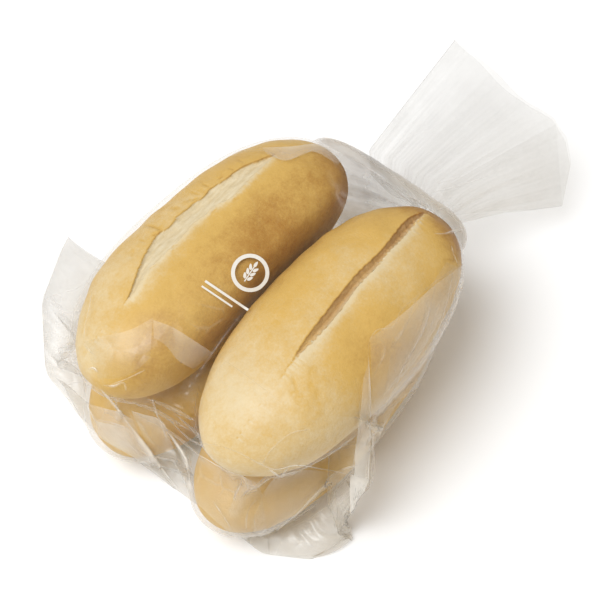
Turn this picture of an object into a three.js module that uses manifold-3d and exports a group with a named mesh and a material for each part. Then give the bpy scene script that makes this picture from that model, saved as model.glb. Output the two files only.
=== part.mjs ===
// A clear bag of four long bread rolls, lying on its side. The rolls are stacked two on two, the film is
// drawn tight round them, its slack stands out as an ear on one side and a fin on the other, and past the
// gathered neck the open end of the bag fans out. The bag is shut, so film and rolls are one solid.
// Units are millimetres and +Z is up. +X runs along the bag, from its sealed end to its open end, and +Y is
// to the left of that. The origin lies on the ground, under the middle of the stack of rolls.
import * as THREE from 'three';
import { mergeVertices } from 'three/addons/utils/BufferGeometryUtils.js';
import Module from 'manifold-3d';

const wasm = await Module();
wasm.setup();

// ---- Driving dimensions ----------------------------------------------------------------------------------

// Rolls: the middle of each, its turn about Z in degrees, and its full size.
const ROLLS = [
  { x: 6.0, y: -32.5, z: 83, turn: 1, length: 161, width: 78, height: 58 },
  { x: -1.0, y: 33.0, z: 82, turn: -3, length: 163, width: 82, height: 58 },
  { x: -1.0, y: -29.5, z: 28, turn: 2, length: 165, width: 70, height: 57 },
  { x: -3.0, y: 32.5, z: 28, turn: 0, length: 165, width: 74, height: 57 },
];
const TAPER_POWER = 2.5; // how late a roll starts to narrow towards its ends
const TAPER_ROOT = 2.1; // how blunt its ends are
const SECTION_POWER = 2.2; // a roll's cross-section, where 2 is an ellipse
const SECTION_POINTS = 40;

// Film over the stack.
const FILM_GAP = 1.2; // how far the film stands off the rolls
const STACK_MIDDLE = { y: 0, z: 56 }; // the line along X from which the film's reach is measured
const VALLEY_DEPTH = 0.35; // how far the film follows the rolls into the valleys between them, from 0 to 1
const VALLEY_LIMIT = 0.3; // the deepest that a valley may be, as a share of the film's reach
const BRIDGED_BELOW = { none: -0.4, all: -0.8 }; // sines of the directions where the valley is bridged
const NEAR_END_X = -88; // the end of the bag that is sealed, before it is drawn in
const FIRST_STATION_X = -79.8; // where the plane across the bag first cuts every roll
const END_SHARES = [0.2, 0.45, 0.7, 0.88]; // rings that round the sealed end, as shares of the first station's
const END_VALLEY_DEPTH = 21; // how far the sealed end is drawn in between the rolls' ends
const END_VALLEY_SHARE = 0.85; // how closely it follows the rolls there, from 0 to 1
const END_VALLEY_LENGTH = 50; // how far along the bag that goes on
const END_VALLEY_STEP = 0.5;
const END_VALLEY_SOFTENING = 2; // how often its depths are evened out
const FAR_ROLL_X = 84; // where the last roll ends
const STATION_STEP = 5.2;
const SPOKES = 64; // points round the bag

// The gathered neck.
const NECK = { x: 106, y: -12, z: 42 };
const NECK_RADIUS = 10;
const NECK_PLEATS = 8;
const NECK_PLEAT_DEPTH = 1.6;
const NECK_LENGTH = 6;
const SHOULDER_SHARES = [0.2, 0.4, 0.6, 0.8, 0.92]; // rings between the last roll's end and the neck
const SHOULDER_FULLNESS = 2.2; // over 1, the film is drawn in late
const SHOULDER_REACH = 25; // how far from the middle the film would be at the neck, if not drawn in

// The open end past the neck: the corners of its rim, from the right edge round the mouth to the left edge.
const FAN_CORNERS = [
  [141, -35, 30], [167, -53, 22], [183, -45, 34], [195, -25, 42], [192, -11, 46],
  [200, 44, 46], [124, 39.5, 34], [113, 29.5, 30],
];
const FAN_SPOKES = 44;
const FAN_RINGS = 12;
const FAN_START = 5; // the fan begins inside the neck
const FAN_SPREAD = 1.15; // over 1, its rings are closer at the neck
const FAN_THICKNESS = 2.4; // two layers of film, as one plate
const BUNCH_THICKNESS = 13; // the bunched film at the neck
const BUNCH_FADE = 16; // how soon it thins out
const FAN_PLEATS = 9;
const FAN_PLEAT_HEIGHT = 1.8;
const FAN_PLEAT_FADE = 0.6; // the share of their height that the pleats lose by the rim

// Slack film that stands out from the stack, by the corners of each plate.
const FLAP_THICKNESS = 2.2;
const EAR_CORNERS = [
  [5, 50, 42], [-4, 98, 42], [-17, 119, 41], [-24, 117, 40], [-50, 105, 37],
  [-70, 88, 31], [-77, 74, 27], [-77, 60, 24], [-66, 38, 24],
];
const FIN_CORNERS = [
  [4, -52, 100], [-12, -72, 84], [-29, -84, 60], [-33, -83, 36], [-36, -80, 6],
  [-44, -66, 12], [-40, -52, 40], [-20, -40, 80],
];
// The foot of the film on the ground at the sealed end.
const SKIRT_THICKNESS = 2.4;
const SKIRT_CORNERS = [
  [-40, 30], [-74, 48], [-71, 0], [-69, -55], [-54, -74], [-28, -71], [-20, -20],
].map(([x, y]) => [x, y, SKIRT_THICKNESS / 2]);

// The slash in the crust of each upper roll. It runs along the roll from one place to another. It lies beside
// the crest by its greatest amount at the apex, and by less, as the bow says, at the end farther from there.
const SLASHES = [
  { roll: ROLLS[0], from: -42, to: 74, apex: 74, beside: 1.5, bow: 5.5, tilt: 2, width: 7, depth: 3.5 },
  { roll: ROLLS[1], from: -62, to: 56, apex: 25, beside: 17.5, bow: 14.5, tilt: 14, width: 13, depth: 4 },
];
const SLASH_STEPS = 14;
const SLASH_SIDES = 10;
const SLASH_TIP = 0.04; // the share of its length that is left off at each pointed end

const GROUND_BLOCK = 600;

// ---- Outlines and closed shells --------------------------------------------------------------------------

const radians = THREE.MathUtils.degToRad;

function signedPower(value, power) {
  return Math.sign(value) * Math.abs(value) ** power;
}

// The share of its full width that a roll has at t, from -1 at one end to 1 at the other.
function rollTaper(t) {
  return Math.abs(t) >= 1 ? 0 : (1 - Math.abs(t) ** TAPER_POWER) ** (1 / TAPER_ROOT);
}

// The middle and half the size of one roll where the plane at x cuts it, with the film's gap added.
function rollSizes(roll, x) {
  const along = (x - roll.x) / Math.cos(radians(roll.turn));
  const taper = rollTaper(along / (roll.length / 2 + FILM_GAP));
  return {
    isCut: taper > 0,
    middleY: roll.y + (x - roll.x) * Math.tan(radians(roll.turn)),
    halfWidth: (roll.width / 2) * taper + FILM_GAP,
    halfHeight: (roll.height / 2) * taper + FILM_GAP,
  };
}

// The outline of one roll where the plane at x cuts it, or nothing past its ends.
function rollSection(roll, x) {
  const { isCut, middleY, halfWidth, halfHeight } = rollSizes(roll, x);
  if (!isCut) return [];
  const points = [];
  for (let i = 0; i < SECTION_POINTS; i++) {
    const angle = (i / SECTION_POINTS) * 2 * Math.PI;
    points.push([
      middleY + halfWidth * signedPower(Math.cos(angle), 2 / SECTION_POWER),
      roll.z + halfHeight * signedPower(Math.sin(angle), 2 / SECTION_POWER),
    ]);
  }
  return points;
}

function turnsLeft(a, b, c) {
  return (b[0] - a[0]) * (c[1] - a[1]) - (b[1] - a[1]) * (c[0] - a[0]) > 0;
}

function convexHull(points) {
  const sorted = [...points].sort((a, b) => a[0] - b[0] || a[1] - b[1]);
  const chain = (run) => {
    const kept = [];
    for (const point of run) {
      while (kept.length > 1 && !turnsLeft(kept.at(-2), kept.at(-1), point)) kept.pop();
      kept.push(point);
    }
    return kept.slice(0, -1);
  };
  return [...chain(sorted), ...chain(sorted.reverse())];
}

// How far a ray from the middle of the stack reaches inside a closed outline, or 0 where it misses it.
function reachOf(outline, angle) {
  const [dy, dz] = [Math.cos(angle), Math.sin(angle)];
  let reach = 0;
  outline.forEach((a, i) => {
    const b = outline[(i + 1) % outline.length];
    const [ay, az] = [a[0] - STACK_MIDDLE.y, a[1] - STACK_MIDDLE.z];
    const [ey, ez] = [b[0] - a[0], b[1] - a[1]];
    const across = dy * ez - dz * ey;
    if (Math.abs(across) < 1e-9) return;
    const distance = (ay * ez - az * ey) / across;
    const share = (ay * dz - az * dy) / across;
    if (share >= 0 && share <= 1) reach = Math.max(reach, distance);
  });
  return reach;
}

// Raises a row of heights at the given places to the taut line that a film stretched over them takes.
function tautOver(places, heights) {
  const kept = [];
  places.forEach((place, i) => {
    const point = [place, heights[i]];
    while (kept.length > 1 && turnsLeft(kept.at(-2), kept.at(-1), point)) kept.pop();
    kept.push(point);
  });
  return places.map((place, i) => {
    const next = kept.findIndex((point) => point[0] >= place);
    if (next <= 0) return heights[i];
    const [a, b] = [kept[next - 1], kept[next]];
    return a[1] + ((b[1] - a[1]) * (place - a[0])) / (b[0] - a[0]);
  });
}

// A closed shell through equal rings of points, with a fan of triangles over each end.
function shellFromRings(rings) {
  const count = rings[0].length;
  const positions = rings.flat().flatMap((point) => [point.x, point.y, point.z]);
  const triangles = [];
  for (let r = 0; r + 1 < rings.length; r++) {
    for (let i = 0; i < count; i++) {
      const [a, b] = [r * count + i, r * count + ((i + 1) % count)];
      triangles.push(a, b, b + count, a, b + count, a + count);
    }
  }
  for (const [r, first] of [[0, true], [rings.length - 1, false]]) {
    const middle = new THREE.Vector3();
    rings[r].forEach((point) => middle.addScaledVector(point, 1 / count));
    const hub = positions.length / 3;
    positions.push(middle.x, middle.y, middle.z);
    for (let i = 0; i < count; i++) {
      const [a, b] = [r * count + i, r * count + ((i + 1) % count)];
      triangles.push(...(first ? [hub, b, a] : [hub, a, b]));
    }
  }
  return solidFrom(positions, triangles);
}

// A plate through a closed run of corners, with its faces half the thickness to each side.
function plate(corners, thickness, side) {
  const flat = corners.map((corner) => side === 'flat'
    ? new THREE.Vector2(corner[0], corner[1])
    : new THREE.Vector2(corner[0], corner[2]));
  const run = THREE.ShapeUtils.isClockWise(flat) ? [...corners].reverse() : corners;
  const outline = THREE.ShapeUtils.isClockWise(flat) ? [...flat].reverse() : flat;
  const push = side === 'flat' ? [0, 0, thickness / 2] : [0, -thickness / 2, 0];
  const count = run.length;
  const positions = [
    ...run.flatMap((p) => [p[0] + push[0], p[1] + push[1], p[2] + push[2]]),
    ...run.flatMap((p) => [p[0] - push[0], p[1] - push[1], p[2] - push[2]]),
  ];
  const triangles = [];
  for (const [a, b, c] of THREE.ShapeUtils.triangulateShape(outline, [])) {
    triangles.push(a, b, c, c + count, b + count, a + count);
  }
  for (let i = 0; i < count; i++) {
    const j = (i + 1) % count;
    triangles.push(i, i + count, j, j, i + count, j + count);
  }
  return solidFrom(positions, triangles);
}

function solidFrom(positions, triangles) {
  return new wasm.Manifold(new wasm.Mesh({
    numProp: 3,
    vertProperties: Float32Array.from(positions),
    triVerts: Uint32Array.from(triangles),
  }));
}

// A three.js geometry as a solid: only its positions are kept, with shared vertices merged.
function solidFromGeometry(geometry) {
  geometry.deleteAttribute('normal');
  geometry.deleteAttribute('uv');
  const merged = mergeVertices(geometry, 1e-4);
  return solidFrom(merged.attributes.position.array, merged.index.array);
}

function geometryFromSolid(solid) {
  const mesh = solid.getMesh();
  const geometry = new THREE.BufferGeometry();
  geometry.setAttribute('position', new THREE.BufferAttribute(mesh.vertProperties, 3));
  geometry.setIndex(new THREE.BufferAttribute(mesh.triVerts, 1));
  geometry.computeVertexNormals();
  return geometry;
}

// How far the film follows a valley in this direction: it bridges the one that the bag lies on.
function valleyShare(angle) {
  return VALLEY_DEPTH * THREE.MathUtils.smoothstep(Math.sin(angle), BRIDGED_BELOW.all, BRIDGED_BELOW.none);
}

function isInsideRoll(roll, x, y, z) {
  const { isCut, middleY, halfWidth, halfHeight } = rollSizes(roll, x);
  const across = Math.abs((y - middleY) / halfWidth) ** SECTION_POWER;
  const up = Math.abs((z - roll.z) / halfHeight) ** SECTION_POWER;
  return isCut && across + up <= 1;
}

// How far along the bag the first roll begins, seen from the sealed end at this side and height.
function firstRollAt(y, z) {
  const limit = NEAR_END_X + END_VALLEY_LENGTH;
  let x = NEAR_END_X;
  while (x < limit && !ROLLS.some((roll) => isInsideRoll(roll, x, y, z))) x += END_VALLEY_STEP;
  return x;
}

// How far a point of the taut film goes along the bag, into the valleys between the rolls' ends.
function endValleyAt(point) {
  const gap = Math.max(0, firstRollAt(point.y, point.z) - point.x);
  const depth = END_VALLEY_DEPTH * (1 - Math.exp((-END_VALLEY_SHARE * gap) / END_VALLEY_DEPTH));
  const fade = 1 - THREE.MathUtils.smoothstep(point.x, NEAR_END_X, NEAR_END_X + END_VALLEY_LENGTH);
  return depth * fade;
}

// Evens out a grid of values, round each ring and from ring to ring.
function evened(grid) {
  return grid.map((ring, i) => ring.map((value, j) => {
    const round = ring.at(j - 1) + ring[(j + 1) % ring.length];
    const along = (grid[i - 1] ?? ring)[j] + (grid[i + 1] ?? ring)[j];
    return (2 * value + round + along) / 6;
  }));
}

// Draws rings of the taut film into the valleys between the rolls' ends.
function drawnIn(rings) {
  let depths = rings.map((ring) => ring.map(endValleyAt));
  for (let pass = 0; pass < END_VALLEY_SOFTENING; pass++) depths = evened(depths);
  return rings.map((ring, i) => ring.map((point, j) => {
    return new THREE.Vector3(point.x + depths[i][j], point.y, point.z);
  }));
}

// ---- Parts of the bag ------------------------------------------------------------------------------------

// The film over the stack, from the sealed end to the neck.
function bodySolid() {
  const stations = [];
  for (let x = FIRST_STATION_X; x < FAR_ROLL_X; x += STATION_STEP) stations.push(x);
  const spokes = Array.from({ length: SPOKES }, (_, j) => (j / SPOKES) * 2 * Math.PI);
  // the reach of each spoke at each station: the tight hull of the rolls there, dipped into their valleys
  const reaches = stations.map((x) => {
    const sections = ROLLS.map((roll) => rollSection(roll, x)).filter((section) => section.length);
    const hull = convexHull(sections.flat());
    return spokes.map((angle) => {
      const taut = reachOf(hull, angle);
      const touching = Math.max(...sections.map((section) => reachOf(section, angle)));
      const valley = Math.min(taut - touching, taut * VALLEY_LIMIT);
      return taut - valleyShare(angle) * Math.max(0, valley);
    });
  });
  // the film runs taut along the bag too, down to the neck
  const places = [...stations, NECK.x];
  const taut = spokes.map((_, j) => {
    return tautOver(places, [...reaches.map((ring) => ring[j]), SHOULDER_REACH]);
  });
  const rings = stations.map((x, i) => spokes.map((angle, j) => new THREE.Vector3(
    x,
    STACK_MIDDLE.y + taut[j][i] * Math.cos(angle),
    STACK_MIDDLE.z + taut[j][i] * Math.sin(angle),
  )));
  const body = drawnIn([...endRings(rings[0]), ...rings]);
  return shellFromRings([...body, ...shoulderRings(rings.at(-1), spokes), ...neckRings(spokes)]);
}

// Rings that round the sealed end, from near its middle to the first station.
function endRings(firstRing) {
  return END_SHARES.map((share) => {
    const back = 1 - Math.sqrt(1 - share ** 2);
    return firstRing.map((point) => new THREE.Vector3(
      THREE.MathUtils.lerp(NEAR_END_X, point.x, back),
      THREE.MathUtils.lerp(STACK_MIDDLE.y, point.y, share),
      THREE.MathUtils.lerp(STACK_MIDDLE.z, point.z, share),
    ));
  });
}

function neckRing(spokes, x) {
  return spokes.map((angle) => {
    const radius = NECK_RADIUS + NECK_PLEAT_DEPTH * Math.cos(NECK_PLEATS * angle);
    return new THREE.Vector3(x, NECK.y + radius * Math.cos(angle), NECK.z + radius * Math.sin(angle));
  });
}

function neckRings(spokes) {
  return [neckRing(spokes, NECK.x), neckRing(spokes, NECK.x + NECK_LENGTH)];
}

// Rings from the last roll's end to the neck, where the film is drawn in.
function shoulderRings(lastRing, spokes) {
  const target = neckRing(spokes, NECK.x);
  return SHOULDER_SHARES.map((share) => {
    const drawn = share ** SHOULDER_FULLNESS;
    return lastRing.map((point, j) => new THREE.Vector3(
      THREE.MathUtils.lerp(point.x, NECK.x, share),
      THREE.MathUtils.lerp(point.y, target[j].y, drawn),
      THREE.MathUtils.lerp(point.z, target[j].z, drawn),
    ));
  });
}

// The open end as one pleated plate, thick where the film is bunched at the neck.
function fanSolid() {
  const neck = new THREE.Vector3(NECK.x, NECK.y, NECK.z);
  const corners = FAN_CORNERS.map((corner) => new THREE.Vector3(...corner));
  const rim = new THREE.CurvePath();
  corners.slice(1).forEach((corner, i) => rim.add(new THREE.LineCurve3(corners[i], corner)));
  const rings = [];
  for (let r = 0; r <= FAN_RINGS; r++) {
    const upper = [];
    const lower = [];
    for (let s = 0; s <= FAN_SPOKES; s++) {
      const across = s / FAN_SPOKES;
      const end = rim.getPoint(across);
      const length = neck.distanceTo(end);
      const reach = THREE.MathUtils.lerp(FAN_START, length, (r / FAN_RINGS) ** FAN_SPREAD);
      const share = reach / length;
      const point = neck.clone().lerp(end, share);
      const pleatHeight = FAN_PLEAT_HEIGHT * (1 - FAN_PLEAT_FADE * share);
      point.z += pleatHeight * Math.sin(across * FAN_PLEATS * 2 * Math.PI);
      const bunch = BUNCH_THICKNESS * Math.exp(-reach / BUNCH_FADE);
      const half = (FAN_THICKNESS + bunch * Math.sqrt(Math.sin(across * Math.PI))) / 2;
      upper.unshift(new THREE.Vector3(point.x, point.y, point.z + half));
      lower.push(new THREE.Vector3(point.x, point.y, point.z - half));
    }
    rings.push([...upper, ...lower]);
  }
  return shellFromRings(rings);
}

// The place on the film over a roll, by how far it is along the roll and beside its crest.
function crustPoint(roll, along, beside) {
  const taper = rollTaper(along / (roll.length / 2 + FILM_GAP));
  const halfWidth = (roll.width / 2) * taper + FILM_GAP;
  const halfHeight = (roll.height / 2) * taper + FILM_GAP;
  const fall = Math.min(1, Math.abs(beside) / halfWidth) ** SECTION_POWER;
  const place = new THREE.Vector3(along, beside, halfHeight * (1 - fall) ** (1 / SECTION_POWER));
  place.applyAxisAngle(new THREE.Vector3(0, 0, 1), radians(roll.turn));
  return place.add(new THREE.Vector3(roll.x, roll.y, roll.z));
}

// One slash: a long lens laid along the crust and half sunk into it, pointed at both ends.
function slashSolid({ roll, from, to, apex, beside, bow, tilt, width, depth }) {
  const farther = Math.max(apex - from, to - apex);
  const rings = [];
  for (let r = 0; r <= SLASH_STEPS; r++) {
    const share = THREE.MathUtils.lerp(SLASH_TIP, 1 - SLASH_TIP, r / SLASH_STEPS);
    const along = THREE.MathUtils.lerp(from, to, share);
    const middle = crustPoint(roll, along, beside - bow * ((along - apex) / farther) ** 2);
    const size = Math.sin(Math.PI * share);
    rings.push(Array.from({ length: SLASH_SIDES }, (_, i) => {
      const angle = (i / SLASH_SIDES) * 2 * Math.PI;
      const [side, rise] = [(width / 2) * Math.cos(angle), depth * Math.sin(angle)];
      const place = new THREE.Vector3(0, side * size, rise * size);
      place.applyAxisAngle(new THREE.Vector3(1, 0, 0), -radians(tilt));
      place.applyAxisAngle(new THREE.Vector3(0, 0, 1), radians(roll.turn));
      return place.add(middle);
    }));
  }
  return shellFromRings(rings);
}

// A block that holds all that is above the ground.
function aboveGround() {
  const block = new THREE.BoxGeometry(GROUND_BLOCK, GROUND_BLOCK, GROUND_BLOCK);
  block.translate(0, 0, GROUND_BLOCK / 2);
  return solidFromGeometry(block);
}

function bagSolid() {
  let bag = bodySolid()
    .add(fanSolid())
    .add(plate(EAR_CORNERS, FLAP_THICKNESS, 'flat'))
    .add(plate(SKIRT_CORNERS, SKIRT_THICKNESS, 'flat'))
    .add(plate(FIN_CORNERS, FLAP_THICKNESS, 'upright'));
  for (const slash of SLASHES) bag = bag.subtract(slashSolid(slash));
  return bag.intersect(aboveGround());
}

const bagMaterial = new THREE.MeshStandardMaterial({ color: 0xe3bd78, roughness: 0.35, metalness: 0 });
const bag = new THREE.Mesh(geometryFromSolid(bagSolid()), bagMaterial);
bag.name = 'bag';

const pack = new THREE.Group();
pack.add(bag);
export default pack;
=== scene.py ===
import math

import bpy
import numpy as np
from mathutils import Matrix, Vector
from mathutils.bvhtree import BVHTree


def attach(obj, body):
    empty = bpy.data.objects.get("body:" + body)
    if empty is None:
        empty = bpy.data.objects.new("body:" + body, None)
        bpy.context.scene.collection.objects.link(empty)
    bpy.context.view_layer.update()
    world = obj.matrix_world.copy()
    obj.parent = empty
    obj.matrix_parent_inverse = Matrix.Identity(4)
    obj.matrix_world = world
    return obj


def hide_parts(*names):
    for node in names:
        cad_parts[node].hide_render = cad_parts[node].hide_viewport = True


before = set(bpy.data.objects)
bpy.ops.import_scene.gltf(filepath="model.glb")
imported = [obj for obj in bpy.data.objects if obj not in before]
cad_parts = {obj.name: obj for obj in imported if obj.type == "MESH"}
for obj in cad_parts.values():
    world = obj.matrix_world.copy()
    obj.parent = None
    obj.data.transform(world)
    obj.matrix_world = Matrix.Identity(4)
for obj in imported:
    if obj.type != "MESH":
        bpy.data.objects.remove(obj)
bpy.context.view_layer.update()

bl_info = {
    "name": "Bag of Long Rolls",
    "version": (1, 0, 0),
    "blender": (4, 5, 0),
    "location": "3D Viewport > Sidebar > Rolls",
    "description": "Four slashed bread rolls in a clear film bag that is gathered at its neck",
    "category": "Add Mesh",
}

# ---- Sizes, in millimetres in the row's frame ------------------------------------------------------------

MM = 0.001
NODE = "bag"
BODY = "root"

# A roll's middle and full size, its turn about Z in degrees, and the planes that its neighbours and the
# ground press it to, each with how softly it turns into the plane.
ROLLS = {
    "roll_upper_right": dict(
        x=6, y=-32.5, z=83, turn=1, length=161, width=78, height=58,
        right=None, left=(5.6, 2.0), under=(55.2, 3.0), over=None, seed=11,
    ),
    "roll_upper_left": dict(
        x=0.5, y=33, z=82, turn=-3, length=166, width=82, height=58,
        right=(6.2, 7.0), left=None, under=(55.2, 3.0), over=None, seed=12,
    ),
    "roll_lower_right": dict(
        x=-1, y=-29.5, z=28, turn=2, length=165, width=70, height=57,
        right=None, left=(0.2, 4.0), under=(0.5, 2.0), over=(54.6, 3.0), seed=13,
    ),
    "roll_lower_left": dict(
        x=-3, y=32.5, z=28, turn=0, length=165, width=74, height=57,
        right=(0.8, 4.0), left=None, under=(0.5, 2.0), over=(54.6, 3.0), seed=14,
    ),
}

# The powers of a roll's shape along it and across it, and how many rings its mesh has and points round each.
TAPER_POWER = 2.5
TAPER_ROOT = 2.1
SECTION_POWER = 2.2
SLASHED_MESH = (300, 250)
PLAIN_MESH = (120, 140)

# Where a roll is darker or paler: an axis, the change, and the places where it starts and is whole. The
# terms along Y that darken each upper roll towards the other are painted shade in the valley between them;
# the others make a roll paler towards its near end and outer side, and darker towards its far end.
SHADES = {
    "roll_upper_left": [
        (1, 0.2, 40.0, 20.0), (1, -0.14, 30.0, 62.0), (0, 0.08, -10.0, 70.0), (0, -0.12, 0.0, -70.0),
    ],
    "roll_upper_right": [
        (1, 0.16, -10.0, 5.0), (0, -0.22, 15.0, -50.0), (0, 0.10, 30.0, 80.0), (0, 0.28, 62.0, 79.0),
    ],
}
BAKED_ALL_OVER = {"roll_upper_left": 0.05}

# The slash of each upper roll, by its left and right edges: places along the roll and beside its crest.
# Its outline is a painted shadow line along the left edge, under the lip.
SLASHES = {
    "roll_upper_right": dict(
        left=[
            (-44, -3.9), (-38, -3.1), (-32, -2.6), (-25, -1.2), (-10, 0.4), (3, 1.6), (13, 2.3), (22, 2.7),
            (31, 2.4), (38, 2.3), (48, 3.6), (58, 5.3), (66, 5.3), (75, 3.3),
        ],
        right=[
            (-44, -3.9), (-38, -3.6), (-32, -3.5), (-25, -3.8), (-12, -4.3), (-4, -4.1), (2, -3.5), (9, -2.7),
            (16, -1.9), (25, -2.0), (32, -1.9), (38, -1.0), (48, -0.8), (57, 0.1), (68, 1.8), (75, 3.2),
        ],
        # The right roll's dark inside is partly the tan of the opened crust, partly painted shade in the
        # groove.
        depth=2.6, floor_at=0.45, floor_rise=0.35, left_lip=(0.3, 3.0), right_lip=(0.5, 3.5), lean=0.1,
        rough=0.12, torn=0.22, bake=0.84, outline=0.3, focus=87, spread=15,
    ),
    "roll_upper_left": dict(
        left=[
            (-68, 7.5), (-50, 7.4), (-45, 9.2), (-39, 12.4), (-31, 16.4), (-23, 19.8), (-15, 22.4),
            (-9, 21.0), (-2, 22.6), (3, 22.0), (7, 22.6), (12, 21.2), (19, 21.9), (26, 20.6), (38, 19.3),
            (47, 16.2), (55, 13.4),
        ],
        right=[
            (-68, 7.2), (-50, 6.6), (-45, 6.9), (-39, 8.6), (-31, 10.2), (-20, 10.6), (-14, 11.3), (-7, 12.0),
            (0, 13.3), (6, 12.4), (15, 12.0), (21, 9.8), (29, 10.0), (38, 11.6), (46, 12.1), (55, 13.2),
        ],
        depth=1.7, floor_at=0.2, floor_rise=0.75, left_lip=(0.9, 6.0), right_lip=(0.25, 3.0), lean=0.6,
        rough=0.05, torn=1.0, bake=0.1, outline=0.26, focus=66, spread=20,
    ),
}

# Creases in the crust: a place along the roll and beside its crest, a turn in degrees, half its length
# and half its width, its depth, and how dark its groove is, partly browner crust and partly painted shade.
CREASES = {
    "roll_upper_right": [
        (-41, -11, 38, 4.5, 0.9, 0.22, 0.16), (-44, -16, 28, 4.0, 0.8, 0.18, 0.12),
        (-36, -16, 60, 3.0, 0.7, 0.15, 0.12), (-37, -21, 45, 4.0, 0.9, 0.15, 0.10),
        (-30, -12, 30, 2.5, 0.6, 0.12, 0.08), (60, -22, 8, 4.0, 0.8, 0.2, 0.16),
    ],
    "roll_upper_left": [
        (-13, 28.3, 90, 5.5, 0.6, 0.9, 0.34), (-16, 22.8, 22, 3.5, 0.5, 0.6, 0.30),
        (0.5, 29.0, 106, 7.5, 0.6, 0.9, 0.32), (9.3, 24.2, 137, 3.4, 0.5, 0.6, 0.26),
        (20, 25.4, 78, 4.0, 0.5, 0.7, 0.30), (27, 22.8, 30, 2.5, 0.5, 0.5, 0.24),
        (33, 24, 100, 4.0, 0.5, 0.4, 0.16), (-30, 24, 60, 5.0, 0.8, 0.3, 0.10),
        (-6, 26.4, 100, 4.5, 0.5, 0.6, 0.26), (-22, 25.2, 78, 3.6, 0.5, 0.5, 0.22),
        (14, 27.6, 96, 4.0, 0.5, 0.5, 0.24), (40, 24.0, 80, 3.0, 0.5, 0.4, 0.18),
        (-17, 9.8, 20, 2.2, 0.5, 0.4, 0.28), (10, 10.9, 15, 3.2, 0.5, 0.45, 0.30),
        (22, 7.8, 50, 2.0, 0.5, 0.4, 0.26), (-30, 9.6, 14, 4.0, 0.4, 0.3, 0.22),
    ],
}

# The film over the stack: its gaps to the rolls while and after it settles, the middle that directions are
# taken from, the directions of its two folded edges, and its mesh.
FILM_GAP = 0.9
FILM_CLEARANCE = 0.35
STACK_MIDDLE = (0.0, 56.0)
LEFT_FOLD = -12.0
RIGHT_FOLD = 192.0
AROUND = 320
FILM_ROUND = 440.0
NEAR_RINGS = 58
BODY_RINGS = 92
SHOULDER_RINGS = 30
TAIL_RINGS = 60
FAR_X = 82.0
STATION_STEP = 2.0
VALLEY_DEPTH = 0.35
VALLEY_ENDS = (20.0, 55.0)
LOOSE_SIDE = dict(by=7.5, middle=34.0, half_angle=30.0, near=-75.0, far=60.0)
SEARCH_REACH = 6.0
PUSH_MARGIN = 3.0
PUSH_LIMIT = 4.0

# How the film settles: the share of its speed that it keeps, its pull inwards and its weight in millimetres a
# step, and how often in a step its lengths are put right and by what share.
SETTLING = dict(speed=0.9, inwards=0.010, weight=0.006, rounds=3, share=0.28)

# Where the near end hands over to the film along the stack, by direction round the bag in degrees.
START_X = {
    -40: -40, -12: 2, 8: 2, 30: -14, 60: -52, 90: -62, 112: -60, 128: -44, 144: -14, 156: -2, 166: -6,
    176: -18, 192: -26, 212: -34, 240: -44, 270: -46,
}

# The sealed edge, as places by direction round the bag: its top layer, then its bottom layer.
SEAM = {
    -12: (-15, 119, 40), 4: (-24, 116, 40), 22: (-50, 105, 36), 38: (-74, 81, 26), 45: (-73, 70, 12),
    52: (-74, 54, 2), 90: (-71, 2, 0.5), 132: (-69, -54, 0.5), 160: (-54, -75, 0.6), 192: (-36, -81, 5),
    212: (-54, -75, 0.5), 232: (-69, -54, 0.4), 270: (-71, 2, 0.4), 308: (-74, 54, 1.5),
    315: (-73, 70, 11), 322: (-74, 81, 25), 336: (-50, 105, 35), 342: (-24, 116, 39),
}

# The dome of film over the near ends, and the fin of doubled film at the right side, whose edge runs from the
# upper roll's flank down to the sealed edge.
DOME_FORWARD = (-100.0, 0.0, 0.0)
DOME_SHARE = (0.0, 0.95, 0.93)
FIN_EDGE = [(4, -52, 100), (-12, -72, 84), (-27, -87, 61), (-31, -86, 38), (-36, -80, 6)]
FIN_FROM = 140.0
FIN_WIDTH = 8.0
FIN_HALF_GAP = 0.8
FIN_STOPS = (0.0, 0.42, 0.5, 0.58, 1.0)

# The gathered neck, and the open end past it.
NECK = (106.0, -12.0, 42.0)
NECK_RADIUS = 9.0
SHOULDER_FULLNESS = 2.2
SHOULDER_REACH = 25.0
TAIL_PLEATS = 30
TAIL_LEFT = [(107, -3, 42), (110, 16, 34), (114, 30, 31), (124, 39.5, 34), (200, 44, 46)]
TAIL_RIGHT = [(107, -21, 42), (122, -27, 36), (141, -35, 29), (154, -44, 25), (167, -53, 22)]
TAIL_MOUTH = [(200, 44, 46), (192, -11, 46), (195, -24, 42), (192, -35, 38), (183, -45, 34), (167, -53, 22)]

FLOOR = 0.35

# How milky the film is where it lies flat, and how much more it is in other places.
MILK = dict(flat=0.015, doubled=0.11, crumpled=0.05, foot=0.05, neck=0.45, flank=0.26, streaks=0.09)
CRUMPLED_BEND = 0.35

# ---- The view, and the film's folds by their pixels in it ------------------------------------------------

PHOTO_SIZE = 600
SENSOR = 36.0
VIEW_AZIMUTH = -50.0
VIEW_ELEVATION = 60.0
VIEW_DISTANCE = 1000.0
VIEW_TARGET = (32.7, 9.2, 35.0)
VIEW_LENS = 122.4

# A pinched fold's section: places across it, how high each stands and how milky it is. Its width and height
# are in millimetres for a fold of width 1, its foot is how far off the film it starts, and its step is the
# pixels from row to row.
FOLD_SECTION = [(-0.5, 0.0, 0.3), (-0.34, 0.9, 1.0), (-0.1, 1.0, 0.6), (0.18, 0.6, 0.3), (0.5, 0.0, 0.0)]
FOLD_WIDTH = 0.9
FOLD_HEIGHT = 0.24
FOLD_HEIGHT_LIMIT = 0.8
FOLD_FOOT = 0.16
FOLD_STEP = 2.2

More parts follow.
